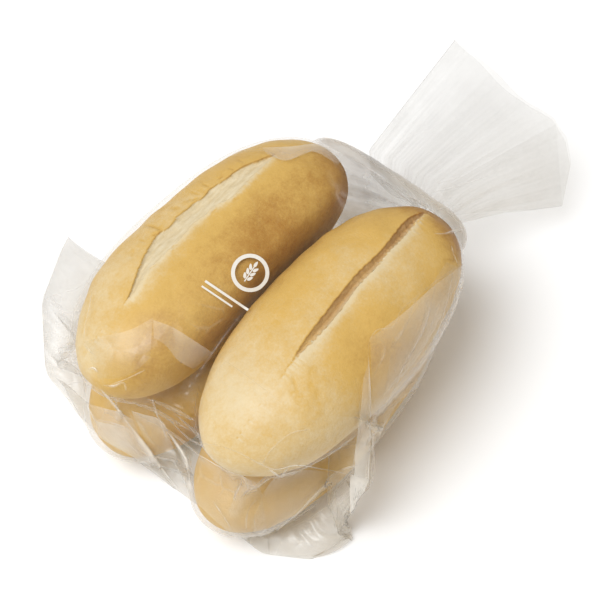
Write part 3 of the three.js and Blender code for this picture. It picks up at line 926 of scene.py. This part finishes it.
def film_table(angles):
    """Stations along the bag, and how far the film reaches from the middle of the stack at each, by angle."""
    stations = np.arange(-86.0, FAR_X + STATION_STEP, STATION_STEP)
    reaches = np.zeros((len(stations), len(angles)))
    for i, x in enumerate(stations):
        sections = [roll_section(roll, x) for roll in ROLLS.values()]
        sections = [section for section in sections if len(section)]
        if len(sections) < 2:
            continue
        taut = reach_of(convex_hull(np.vstack(sections)), angles)
        touching = np.max([reach_of(section, angles) for section in sections], axis=0)
        follow = VALLEY_DEPTH * smoothstep(np.sin(angles), -0.8, -0.4)
        follow *= 1.0 - smoothstep(x, *VALLEY_ENDS) * smoothstep(np.sin(angles), 0.5, 0.8)
        reaches[i] = taut - follow * np.clip(taut - touching, 0.0, 0.3 * taut) + loose_side(x, angles)
    places = np.append(stations, NECK[0])
    for j in range(len(angles)):
        reaches[:, j] = taut_over(places, np.append(reaches[:, j], SHOULDER_REACH))[:-1]
    return stations, reaches


def column_directions():
    """The directions round the bag of the film's columns, in degrees: over the top, then under the bottom."""
    half = AROUND // 2
    over = np.linspace(LEFT_FOLD, RIGHT_FOLD, half, endpoint=False)
    under = np.linspace(RIGHT_FOLD, LEFT_FOLD + 360.0, AROUND - half, endpoint=False)
    return np.concatenate([over, under])


def near_end(seam, first, degrees):
    """Rings from the sealed edge to the film along the stack: a dome, with a fin out at the right."""
    angles = np.radians(degrees)
    up = smoothstep(np.sin(angles), 0.15, 0.7)[:, None]
    turn = (first + seam) / 2 * (1 - up) + up * (first * np.array(DOME_SHARE) + np.array(DOME_FORWARD))
    share = np.clip((degrees - FIN_FROM) / (RIGHT_FOLD - FIN_FROM), 0.0, 1.0)
    grown = smoothstep(degrees, 120.0, 148.0)[:, None]
    tip = first * (1 - grown) + polyline(FIN_EDGE, share) * grown
    inward = unit(np.array([0.0, *STACK_MIDDLE]) - tip * np.array([0.0, 1.0, 1.0]))
    width = FIN_WIDTH * smoothstep(share, 0.0, 0.5)[:, None]
    gap = np.array([FIN_HALF_GAP, 0.0, 0.0])
    root = tip + inward * width
    in_fin = (smoothstep(degrees, 124.0, 150.0) * (1.0 - smoothstep(degrees, 194.0, 204.0)))[:, None]
    stops = np.array(FIN_STOPS)
    path = np.array([seam, root - gap, tip, root + gap, first])
    rings = []
    for k in range(NEAR_RINGS):
        s = k / NEAR_RINGS
        dome = (1 - s) ** 2 * seam + 2 * s * (1 - s) * turn + s * s * first
        i = int(np.clip(np.searchsorted(stops, s, side="right") - 1, 0, 3))
        t = (s - stops[i]) / (stops[i + 1] - stops[i])
        finned = path[i] * (1 - t) + path[i + 1] * t
        rings.append(dome * (1 - in_fin) + finned * in_fin)
    return rings


def stack_film():
    """The film from the sealed edge to the neck, before it settles, as rings of points."""
    degrees = column_directions()
    angles = np.radians(degrees)
    stations, reaches = film_table(angles)
    columns = np.arange(AROUND)

    def on_stack(x):
        place = np.clip((x - stations[0]) / STATION_STEP, 0.0, len(stations) - 1.001)
        low = place.astype(int)
        share = place - low
        reach = reaches[low, columns] * (1.0 - share) + reaches[low + 1, columns] * share
        y = STACK_MIDDLE[0] + reach * np.cos(angles)
        z = STACK_MIDDLE[1] + reach * np.sin(angles)
        return np.stack([x, y, np.maximum(z, FLOOR)], axis=-1)

    start = by_direction(START_X, degrees, 30)[:, 0]
    seam = by_direction(SEAM, degrees, 2)
    rings = near_end(seam, on_stack(start), degrees)
    for k in range(BODY_RINGS):
        rings.append(on_stack(start + (FAR_X - start) * k / (BODY_RINGS - 1)))
    last = rings[-1]
    pleats = 1.0 + 0.14 * ripples(np.stack([np.cos(angles), np.sin(angles)], -1), 0.42, 41)
    neck = np.stack([
        np.full(AROUND, NECK[0]),
        NECK[1] + NECK_RADIUS * pleats * np.cos(angles),
        NECK[2] + NECK_RADIUS * pleats * np.sin(angles),
    ], axis=-1)
    for k in range(1, SHOULDER_RINGS + 1):
        s = k / SHOULDER_RINGS
        ring = last * (1 - s ** SHOULDER_FULLNESS) + neck * s ** SHOULDER_FULLNESS
        ring[:, 0] = last[:, 0] * (1 - s) + neck[:, 0] * s
        rings.append(ring)
    return np.array(rings), neck


def pushed_out(points, gap):
    """Moves points that are in a roll, or nearer to it than the gap, out of it."""
    for roll in ROLLS.values():
        turned, middle = roll_placing(roll)
        half = np.array([roll["length"], roll["width"], roll["height"]]) / 2
        local = (points - middle) @ turned.T
        close = (np.abs(local) < half + PUSH_MARGIN).all(axis=-1)
        p = local[close]
        scaled = np.abs(p) / half
        section = scaled[:, 1] ** SECTION_POWER + scaled[:, 2] ** SECTION_POWER + 1e-12
        value = section ** (TAPER_ROOT / SECTION_POWER) + scaled[:, 0] ** TAPER_POWER
        slope = np.empty_like(p)
        slope[:, 0] = TAPER_POWER * scaled[:, 0] ** (TAPER_POWER - 1) / half[0]
        outer = TAPER_ROOT * section ** (TAPER_ROOT / SECTION_POWER - 1)
        slope[:, 1] = outer * scaled[:, 1] ** (SECTION_POWER - 1) / half[1]
        slope[:, 2] = outer * scaled[:, 2] ** (SECTION_POWER - 1) / half[2]
        steep = np.maximum(np.linalg.norm(slope, axis=1), 1e-4)
        push = np.clip(gap - (value - 1.0) / steep, 0.0, PUSH_LIMIT)
        local[close] = p + np.sign(p) * slope / steep[:, None] * push[:, None]
        points = local @ turned + middle
    return points


def settled(points, steps, slack, pinned):
    """Lets the film find its shape: it keeps its size, stays off the rolls and floor, and sinks a little."""
    offsets = [(1, 0, 1.0), (0, 1, 1.0), (1, 1, 0.5), (1, -1, 0.5), (2, 0, 0.12), (0, 2, 0.12)]
    rings = len(points)

    def ends(values, di, dj):
        return values[:rings - di], np.roll(values[di:], -dj, axis=1)

    rests = []
    for di, dj, _ in offsets:
        a, b = ends(points, di, dj)
        rests.append(np.linalg.norm(b - a, axis=-1, keepdims=True) * (1.0 + ends(slack, di, dj)[0]))
    before = points.copy()
    free = 1.0 - pinned
    weight = np.array([0, 0, -SETTLING["weight"]])
    for _ in range(steps):
        speed = (points - before) * SETTLING["speed"]
        before = points.copy()
        points = points + free * (speed - SETTLING["inwards"] * grid_normals(points) + weight)
        for _ in range(SETTLING["rounds"]):
            total = np.zeros_like(points)
            for (di, dj, stiffness), rest in zip(offsets, rests):
                a, b = ends(points, di, dj)
                gap = b - a
                length = np.maximum(np.linalg.norm(gap, axis=-1, keepdims=True), 1e-6)
                move = gap * np.clip(stiffness * 0.5 * (1.0 - rest / length), -0.5, 0.5)
                total[:rings - di] += move
                total[di:] -= np.roll(move, dj, axis=1)
            points = points + free * total * SETTLING["share"]
        points = np.where(free > 0, pushed_out(points, FILM_GAP), points)
        points[..., 2] = np.maximum(points[..., 2], FLOOR)
    return points


def tail_pleats(across, share, draw):
    """The height of the folds that run out from the neck, by place across and share of the way out."""
    height = np.zeros(len(across))
    for _ in range(TAIL_PLEATS):
        middle, half = draw.uniform(0.04, 0.96), draw.uniform(0.012, 0.04)
        rise = draw.uniform(0.5, 2.0) * draw.choice([-1.0, 1.0])
        reach = draw.uniform(0.25, 1.0)
        tent = np.clip(1.0 - np.abs(across - middle) / half, 0.0, 1.0)
        height += rise * tent * math.exp(-2.5 * share / reach)
    return height


def tail_film(neck):
    """The open end: both layers run from the neck, where they are pleated, to the mouth, nearly flat."""
    half = AROUND // 2
    over = np.arange(half) / half
    across = np.concatenate([over, 1.0 - np.arange(AROUND - half) / (AROUND - half)])
    layer = np.concatenate([np.ones(half), -np.ones(AROUND - half)])
    folded = np.sin(across * math.pi)
    mouth = polyline(TAIL_MOUTH, across)
    corners = mouth[0] * (1 - across)[:, None] + np.asarray(TAIL_MOUTH[-1], float) * across[:, None]
    rings = []
    for k in range(1, TAIL_RINGS + 1):
        s = (k / TAIL_RINGS) ** 1.25
        left = polyline(TAIL_LEFT, [s])[0]
        right = polyline(TAIL_RIGHT, [s])[0]
        ring = left * (1 - across)[:, None] + right * across[:, None] + (mouth - corners) * s ** 1.5
        top = tail_pleats(across[:half], s, np.random.default_rng(71))
        bottom = tail_pleats(across[half:], s, np.random.default_rng(72))
        key = np.stack([across * 1.6 + 0.1 * layer, 0.3 * layer + 0.3 * s], axis=-1)
        waves = (1.0 + 1.6 * math.exp(-3.2 * s)) * ripples(key, 0.42, 51)
        ring[:, 2] += folded ** 0.5 * (waves + np.concatenate([top, bottom]) + (0.5 + 1.6 * s) * layer)
        joined = smoothstep(np.full(AROUND, s), 0.0, 0.16)[:, None]
        start = neck + np.array([s * 60.0, 0, 0])
        rings.append(start * (1 - joined) + ring * joined)
    return np.array(rings)


def clear_of(trees, points, gap):
    """Moves points that are inside any of the surfaces, or too close to one, to just outside it."""
    for i, point in enumerate(points):
        for tree in trees:
            place, normal, _, distance = tree.find_nearest(point, SEARCH_REACH)
            if place is None:
                continue
            if (Vector(point) - place).dot(normal) < 0 or distance < gap:
                points[i] = place + normal * gap
    return points


def film_milk(points):
    """How milky the film is: more where it is crumpled, and where its two layers lie together."""
    normals = grid_normals(points)
    mean = (np.roll(points, 1, axis=1) + np.roll(points, -1, axis=1)) / 4
    mean[1:-1] += (points[2:] + points[:-2]) / 4
    mean[0], mean[-1] = points[0], points[-1]
    bend = np.abs(((mean - points) * normals).sum(-1))
    crumple = np.clip(bend / CRUMPLED_BEND, 0.0, 1.0) ** 1.5
    x, y, z = points[..., 0], points[..., 1], points[..., 2]
    doubled = np.maximum(1.5 * smoothstep(y, 72.0, 80.0), 0.6 * smoothstep(-y, 71.0, 76.0))
    doubled = np.maximum(doubled, smoothstep(x, 98.0, 106.0))
    milk = MILK["flat"] + MILK["doubled"] * doubled + MILK["crumpled"] * crumple * (1.0 - 0.5 * doubled)
    milk += MILK["foot"] * smoothstep(z, 56.0, 40.0) * smoothstep(x, -20.0, -50.0)
    # Gathered film is milkier at the neck, and there its milk takes the painted shade.
    milk += MILK["neck"] * gathered(x)
    flank = smoothstep(-y, 60.0, 68.0) * smoothstep(z, 4.0, 22.0) * (1.0 - smoothstep(z, 68.0, 86.0))
    milk += MILK["flank"] * flank * smoothstep(x, -22.0, 0.0)
    around = np.arange(AROUND)[None, :] / AROUND + np.zeros((len(points), 1))
    ray = np.stack([around * 12.0, 0.003 * x], axis=-1)
    streaks = np.clip(ripples(ray, 0.5, 91) * 0.6 + ripples(ray, 0.15, 92) * 0.4, -1.0, 2.0)
    tail = smoothstep(x, 88.0, 104.0) * (1.0 - 0.8 * smoothstep(x, 120.0, 190.0))
    return milk + MILK["streaks"] * streaks * tail


def gathered(x):
    """How much the film is gathered at a place along the bag: from the last roll's end to past the neck."""
    return smoothstep(x, 82.0, 92.0) * (1.0 - smoothstep(x, 98.0, 108.0))


def set_film_tones(piece, points, milk, rolls, across=0.0, along=0.0):
    """Gives film its milkiness, its painted reflection of bread by how near bread it is, its painted shade by
    how gathered it is, and its place on the flat sheet.
    """
    flat = points.reshape(-1, 3)
    off = np.array([min(tree.find_nearest(point)[3] for tree in rolls) for point in flat])
    x, y, z = flat.T
    body = 1.0 - smoothstep(x, 84.0, 98.0)
    off_ear = 1.0 - 0.75 * smoothstep(y, 66.0, 76.0)
    set_attribute(piece, "milk", milk.ravel() * (1.0 + 0.4 * smoothstep(off, 1.5, 7.0) * body))
    near_end = 0.3 + 0.7 * smoothstep(-x, -10.0, 30.0)
    set_attribute(piece, "creased", smoothstep(off, 0.8, 4.0) * (0.1 + 0.9 * body) * off_ear * near_end)
    # Painted reflection of the bread, strongest where the film lies nearest a roll.
    set_attribute(piece, "painted_reflection", 0.9 * np.exp(-off / (20.0 + 40.0 * smoothstep(-y, -20.0, 40.0))))
    # Painted shade at the gathered neck, darkest between the far ends of the upper rolls.
    inner = 0.25 + 0.75 * np.exp(-(((y - 12.0) / 11.0) ** 2))
    set_attribute(piece, "painted_neck_shade", inner * gathered(x) * smoothstep(z, 20.0, 40.0))
    set_attribute(piece, "across", np.broadcast_to(across, milk.shape) * MM)
    set_attribute(piece, "along", np.broadcast_to(along, milk.shape) * MM)


def build_film(settings, rolls):
    points, neck = stack_film()
    rings = len(points)
    pinned = np.zeros((rings, AROUND, 1))
    pinned[0] = 1.0
    held = smoothstep(np.arange(rings), rings - SHOULDER_RINGS - 24.0, rings - SHOULDER_RINGS - 4.0)
    pinned = np.maximum(pinned, 0.985 * held[:, None, None])
    pinned[-2:] = 1.0
    loose = 1.0 - smoothstep(np.arange(rings), NEAR_RINGS, NEAR_RINGS + 30.0)
    slack = settings.slack * (0.15 + 0.85 * loose)[:, None, None] * np.ones((1, AROUND, 1))
    points[1:-2] = pushed_out(points[1:-2], FILM_GAP)
    if settings.steps:
        points = settled(points, settings.steps, slack, pinned)
    trees = [surface_tree(roll) for roll in rolls]
    shape = points[1:-2].shape
    points[1:-2] = clear_of(trees, points[1:-2].reshape(-1, 3), FILM_CLEARANCE).reshape(shape)
    whole = np.concatenate([points, tail_film(neck)])
    whole[..., 2] = np.maximum(whole[..., 2], FLOOR)
    material = film_material("clear_film", settings, settings.milk)
    film = new_mesh("film_bag", whole.reshape(-1, 3), tube_faces(len(whole), AROUND), material)
    along = lengths_along(step_sizes(whole).mean(1))[:, None]
    across = (np.arange(AROUND) * FILM_ROUND / AROUND)[None, :]
    set_film_tones(film, whole, film_milk(whole), trees, across, along)
    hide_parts(NODE)
    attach(film, BODY)
    return film


# ---- Folds and print on the film -------------------------------------------------------------------------

def direction(azimuth, elevation):
    """The unit vector towards a place at that azimuth and elevation, where azimuth 0 is at -Y."""
    a, e = math.radians(azimuth), math.radians(elevation)
    return Vector((math.sin(a) * math.cos(e), -math.cos(a) * math.cos(e), math.sin(e)))


def looking(place, target):
    """The turn of a camera or lamp at a place that faces a target."""
    return (place - target).to_track_quat("Z", "Y")


def stand(name, data, place, target):
    """Adds a lamp or a camera at a place, facing a target."""
    item = bpy.data.objects.new(name, data)
    item.matrix_world = Matrix.Translation(place) @ looking(place, target).to_matrix().to_4x4()
    bpy.context.scene.collection.objects.link(item)
    return item


class FilmSurface:
    """Finds places on the film's outside."""

    def __init__(self, film):
        self.tree = surface_tree(film)
        target = Vector(VIEW_TARGET)
        self.eye = target + direction(VIEW_AZIMUTH, VIEW_ELEVATION) * VIEW_DISTANCE
        self.turn = looking(self.eye, target).to_matrix()

    def under(self, pixel):
        """The place on the film that a pixel of the view shows, or its nearest edge, and the normal there."""
        focal = VIEW_LENS / SENSOR * PHOTO_SIZE
        half = PHOTO_SIZE / 2
        ray = self.turn @ Vector(((pixel[0] - half) / focal, (half - pixel[1]) / focal, -1.0))
        ray.normalize()
        place, normal, _, _ = self.tree.ray_cast(self.eye, ray)
        if place is None:
            place = Vector(VIEW_TARGET)
            for _ in range(8):
                beside = self.eye + ray * (place - self.eye).dot(ray)
                place, normal, _, _ = self.tree.find_nearest(beside)
        return place, self.outward(place, normal)

    def outward(self, place, normal):
        return normal if normal.dot(self.eye - place) > 0 else -normal

    def near(self, point):
        place, normal, _, _ = self.tree.find_nearest(point)
        return place, self.outward(place, normal)


def fold_strip(surface, pixels, width, milk):
    """A narrow pinched fold of film along a line of pixels: rows of points, and how milky each is."""
    length = sum(math.dist(a, b) for a, b in zip(pixels, pixels[1:]))
    line = [surface.under(pixel) for pixel in curve_through(pixels, max(6, int(length / FOLD_STEP)))]
    places = np.array([place for place, _ in line])
    tangents = unit(np.gradient(places, axis=0))
    draw = np.random.default_rng(int(pixels[0][0]) * 7 + int(pixels[0][1]))
    knots = draw.uniform(0.25, 1.0, 7)
    uneven = np.interp(np.linspace(0.0, 1.0, len(line)), np.linspace(0.0, 1.0, len(knots)), knots)
    height = min(FOLD_HEIGHT_LIMIT, FOLD_HEIGHT * width)
    rows, levels = [], []
    for i, (place, normal) in enumerate(line):
        share = (i + 0.5) / len(line)
        size = math.sin(math.pi * share) ** 0.45 * (0.8 + 0.2 * math.cos(9.0 * share + pixels[0][0]))
        side = Vector(tangents[i]).cross(normal).normalized()
        row = []
        for across, lift, _ in FOLD_SECTION:
            foot, outward = surface.near(place + side * (across * FOLD_WIDTH * width * size))
            row.append(foot + outward * (FOLD_FOOT + lift * height * size))
        rows.append(row)
        levels.append([milk * size * uneven[i] * level for _, _, level in FOLD_SECTION])
    return np.array(rows), np.array(levels)


def overlap_sheet(surface, first_side, second_side, first_milk, second_milk, rows=26, columns=30):
    """A second layer of film between two lines of pixels."""
    first, second = curve_through(first_side, columns), curve_through(second_side, columns)
    ends = np.sin(math.pi * (np.arange(columns) + 0.5) / columns) ** 0.35
    places, levels = [], []
    for r in range(rows):
        share = r / (rows - 1)
        row = []
        for pixel in first * (1 - share) + second * share:
            place, normal = surface.under(pixel)
            row.append(place + normal * OVERLAP_LIFT)
        places.append(row)
        levels.append((first_milk * (1 - share) + second_milk * share) * ends)
    return np.array(places), np.array(levels)


def join_sheets(name, sheets, material, rolls):
    """One piece from sheets of points in rows, each with how milky its points are."""
    points, faces, milk = [], [], []
    for places, levels in sheets:
        faces.extend(sheet_faces(*places.shape[:2]) + sum(len(run) for run in points))
        points.append(places.reshape(-1, 3))
        milk.append(levels.ravel())
    piece = new_mesh(name, np.vstack(points), faces, material)
    set_film_tones(piece, np.vstack(points), np.concatenate(milk), rolls)
    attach(piece, BODY)
    return piece


def print_grain(x, y, lean):
    """One seed of the sprig: rows of points across it, in millimetres on the print."""
    sine, cosine = math.sin(math.radians(lean)), math.cos(math.radians(lean))
    rows = []
    for t in np.linspace(-1.0, 1.0, 13):
        half = GRAIN[1] / 2 * (1.0 - t * t) ** 0.6 * (1.0 - 0.25 * t)
        ahead = t * GRAIN[0] / 2
        middle = (x + ahead * sine, y + ahead * cosine)
        rows.append([(middle[0] + side * half * cosine, middle[1] - side * half * sine) for side in SIDES])
    return rows


def print_bar(start, end, width):
    """A plain bar between two places: rows of points across it."""
    (x0, y0), (x1, y1) = start, end
    length = math.dist(start, end)
    across = ((y0 - y1) / length * width / 2, (x1 - x0) / length * width / 2)
    rows = []
    for t in np.linspace(0.0, 1.0, max(4, int(length / 1.5))):
        x, y = x0 + (x1 - x0) * t, y0 + (y1 - y0) * t
        rows.append([(x + side * across[0], y + side * across[1]) for side in SIDES])
    return rows


def print_ring():
    """A plain ring: rows of points across it."""
    radii = [RING["radius"] + side * RING["width"] / 2 for side in SIDES]
    turns = np.linspace(0.0, 2.0 * math.pi, RING["steps"] + 1)
    return [[(radius * math.sin(turn), radius * math.cos(turn)) for radius in radii] for turn in turns]


def build_print(surface, material):
    """The white print, laid on the film."""
    shapes = [print_ring(), print_bar((0.0, STEM["foot"]), (0.0, STEM["top"]), STEM["width"])]
    for height in GRAIN_ROWS:
        shapes.append(print_grain(GRAIN[1], height, GRAIN_LEAN))
        shapes.append(print_grain(-GRAIN[1], height, -GRAIN_LEAN))
    shapes.append(print_grain(0.0, STEM["top"] + GRAIN[0] / 2, 0.0))
    for bar in BARS:
        shapes.append(print_bar((bar["from_x"], bar["at"]), (bar["to_x"], bar["at"]), bar["width"]))
    points, faces = [], []
    for rows in shapes:
        faces.extend(sheet_faces(len(rows), 3) + len(points))
        for x, y in (spot for row in rows for spot in row):
            off = [x * right + y * up for right, up in zip(PRINT_RIGHT, PRINT_UP)]
            pixel = [middle + PIXELS_PER_MM * by for middle, by in zip(PRINT_MIDDLE, off)]
            place, normal = surface.under(pixel)
            points.append(place + normal * PRINT_LIFT)
    piece = new_mesh("film_print", np.array(points), faces, material)
    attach(piece, BODY)
    return piece


# ---- Settings --------------------------------------------------------------------------------------------

def colour_property(name, description, default):
    return bpy.props.FloatVectorProperty(
        name=name, description=description, default=default, size=3, min=0.0, max=1.0, subtype="COLOR",
    )


def share_property(name, description, default):
    return bpy.props.FloatProperty(
        name=name, description=description, default=default, min=0.0, max=1.0, subtype="FACTOR",
    )


class RollSettings(bpy.types.PropertyGroup):
    golden: colour_property("Golden crust", "Most of the crust", (0.63, 0.40, 0.108))
    pale: colour_property("Pale crust", "Where the crust baked least", (0.70, 0.565, 0.34))
    brown: colour_property("Brown crust", "Where the crust baked most", (0.37, 0.17, 0.028))
    crumb: colour_property("Crumb", "Torn bread inside a slash", (0.72, 0.62, 0.43))
    crumb_shade: colour_property("Shaded crumb", "The hollows of the torn bread", (0.62, 0.50, 0.30))


class FilmSettings(bpy.types.PropertyGroup):
    tint: colour_property("Tint", "What the film lets through", (0.982, 0.982, 0.98))
    milk: colour_property("Milk", "The faint white of flat film", (0.54, 0.53, 0.515))
    # A painted reflection of the bread in the film beside it.
    painted_reflection_colour: colour_property("Glow", "The cream that the film takes from bread beside it", (0.78, 0.65, 0.44))
    # Painted shade in the gathered film behind the rolls.
    painted_neck_shade: colour_property("Gloom", "The gathered film behind the rolls", (0.20, 0.165, 0.125))
    crease: colour_property("Crease", "The white of a sharp crease", (0.90, 0.895, 0.88))
    shine: share_property("Shine", "How much it mirrors when seen square on", 0.007)
    roughness: share_property("Roughness", "How soft its reflections are", 0.34)
    crinkle: share_property("Crinkle", "How strong its fine relief is", 0.5)
    slack: share_property("Slack", "Spare film at the sealed end", 0.03)
    steps: bpy.props.IntProperty(name="Steps", description="How long the film settles", default=200, min=0)


class StageSettings(bpy.types.PropertyGroup):
    floor: colour_property("Floor", "Colour of the floor", (0.96, 0.96, 0.96))
    ink: colour_property("Ink", "Colour of the print", (0.80, 0.77, 0.71))
    sky: bpy.props.FloatProperty(name="Sky", description="Light from all around", default=0.52, min=0.0)
    key: bpy.props.FloatProperty(
        name="Key", description="Power of the large lamp", default=82.0, min=0.0, subtype="POWER",
    )


# ---- Operators -------------------------------------------------------------------------------------------

class ROLLS_OT_bake(bpy.types.Operator):
    """Make the four bread rolls"""

    bl_idname = "rolls.bake"
    bl_label = "Bake the rolls"

    def execute(self, context):
        material = crust_material(context.scene.roll_settings)
        for name in ROLLS:
            build_roll(name, material)
        return {"FINISHED"}


class ROLLS_OT_wrap(bpy.types.Operator):
    """Wrap the rolls in the clear film bag"""

    bl_idname = "rolls.wrap"
    bl_label = "Wrap in film"

    def execute(self, context):
        build_film(context.scene.film_settings, [bpy.data.objects[name] for name in ROLLS])
        return {"FINISHED"}


class ROLLS_OT_fold(bpy.types.Operator):
    """Add the pinched folds and the doubled layers of the film"""

    bl_idname = "rolls.fold"
    bl_label = "Fold the film"

    def execute(self, context):
        film = bpy.data.objects["film_bag"]
        surface = FilmSurface(film)
        settings = context.scene.film_settings
        creased = film_material("creased_film", settings, settings.crease, 0.45)
        rolls = [surface_tree(bpy.data.objects[name]) for name in ROLLS]
        join_sheets("film_folds", [fold_strip(surface, *fold) for fold in FOLDS.values()], creased, rolls)
        clear = [overlap_sheet(surface, *OVERLAPS[name]) for name in OVERLAPS if name not in CRUMPLED]
        white = [overlap_sheet(surface, *OVERLAPS[name]) for name in CRUMPLED]
        join_sheets("film_overlaps", clear, film.data.materials[0], rolls)
        join_sheets("film_crumples", white, creased, rolls)
        return {"FINISHED"}


class ROLLS_OT_print(bpy.types.Operator):
    """Print the plain white ring, sprig and bars on the film"""

    bl_idname = "rolls.print"
    bl_label = "Print the film"

    def execute(self, context):
        surface = FilmSurface(bpy.data.objects["film_bag"])
        build_print(surface, ink_material(context.scene.stage_settings))
        return {"FINISHED"}


class ROLLS_OT_stage(bpy.types.Operator):
    """Set the floor, the lights and the camera"""

    bl_idname = "rolls.stage"
    bl_label = "Set the stage"

    def execute(self, context):
        scene = context.scene
        settings = scene.stage_settings
        half = FLOOR_HALF
        corners = [(-half, -half, 0), (half, -half, 0), (half, half, 0), (-half, half, 0)]
        new_mesh("floor", corners, [(0, 1, 2, 3)], floor_material(settings), smooth=False)
        target = Vector(VIEW_TARGET) * MM
        light = bpy.data.lights.new("key_light", "AREA")
        light.shape = "DISK"
        light.size = LAMP["size"]
        light.energy = settings.key
        light.color = LAMP["colour"]
        place = target + direction(LAMP["azimuth"], LAMP["elevation"]) * LAMP["away"]
        stand("key_light", light, place, target)
        camera = bpy.data.cameras.new("camera")
        camera.lens = VIEW_LENS
        camera.sensor_width = SENSOR
        camera.clip_end = 20.0
        place = target + direction(VIEW_AZIMUTH, VIEW_ELEVATION) * VIEW_DISTANCE * MM
        scene.camera = stand("camera", camera, place, target)
        world = bpy.data.worlds.new("studio")
        world.use_nodes = True
        background = world.node_tree.nodes["Background"]
        background.inputs["Color"].default_value = rgba(SKY_COLOUR)
        background.inputs["Strength"].default_value = settings.sky
        scene.world = world
        scene.view_settings.view_transform = "Standard"
        scene.cycles.transparent_max_bounces = CLEAR_LAYERS
        return {"FINISHED"}


class ROLLS_PT_panel(bpy.types.Panel):
    """The bag of rolls, piece by piece"""

    bl_label = "Bag of long rolls"
    bl_idname = "ROLLS_PT_panel"
    bl_space_type = "VIEW_3D"
    bl_region_type = "UI"
    bl_category = "Rolls"

    def draw(self, context):
        for step in STEPS:
            self.layout.operator(step.bl_idname)
        for group in GROUPS:
            settings = getattr(context.scene, group)
            box = self.layout.box()
            for name in settings.__annotations__:
                box.prop(settings, name)


STEPS = (ROLLS_OT_bake, ROLLS_OT_wrap, ROLLS_OT_fold, ROLLS_OT_print, ROLLS_OT_stage)
GROUPS = {"roll_settings": RollSettings, "film_settings": FilmSettings, "stage_settings": StageSettings}
CLASSES = (*GROUPS.values(), *STEPS, ROLLS_PT_panel)


def register():
    for item in CLASSES:
        bpy.utils.register_class(item)
    for name, group in GROUPS.items():
        setattr(bpy.types.Scene, name, bpy.props.PointerProperty(type=group))


def unregister():
    for name in GROUPS:
        delattr(bpy.types.Scene, name)
    for item in reversed(CLASSES):
        bpy.utils.unregister_class(item)


def main():
    register()
    bpy.ops.rolls.bake()
    bpy.ops.rolls.wrap()
    bpy.ops.rolls.fold()
    bpy.ops.rolls.print()
    bpy.ops.rolls.stage()


if __name__ == "__main__":
    main()
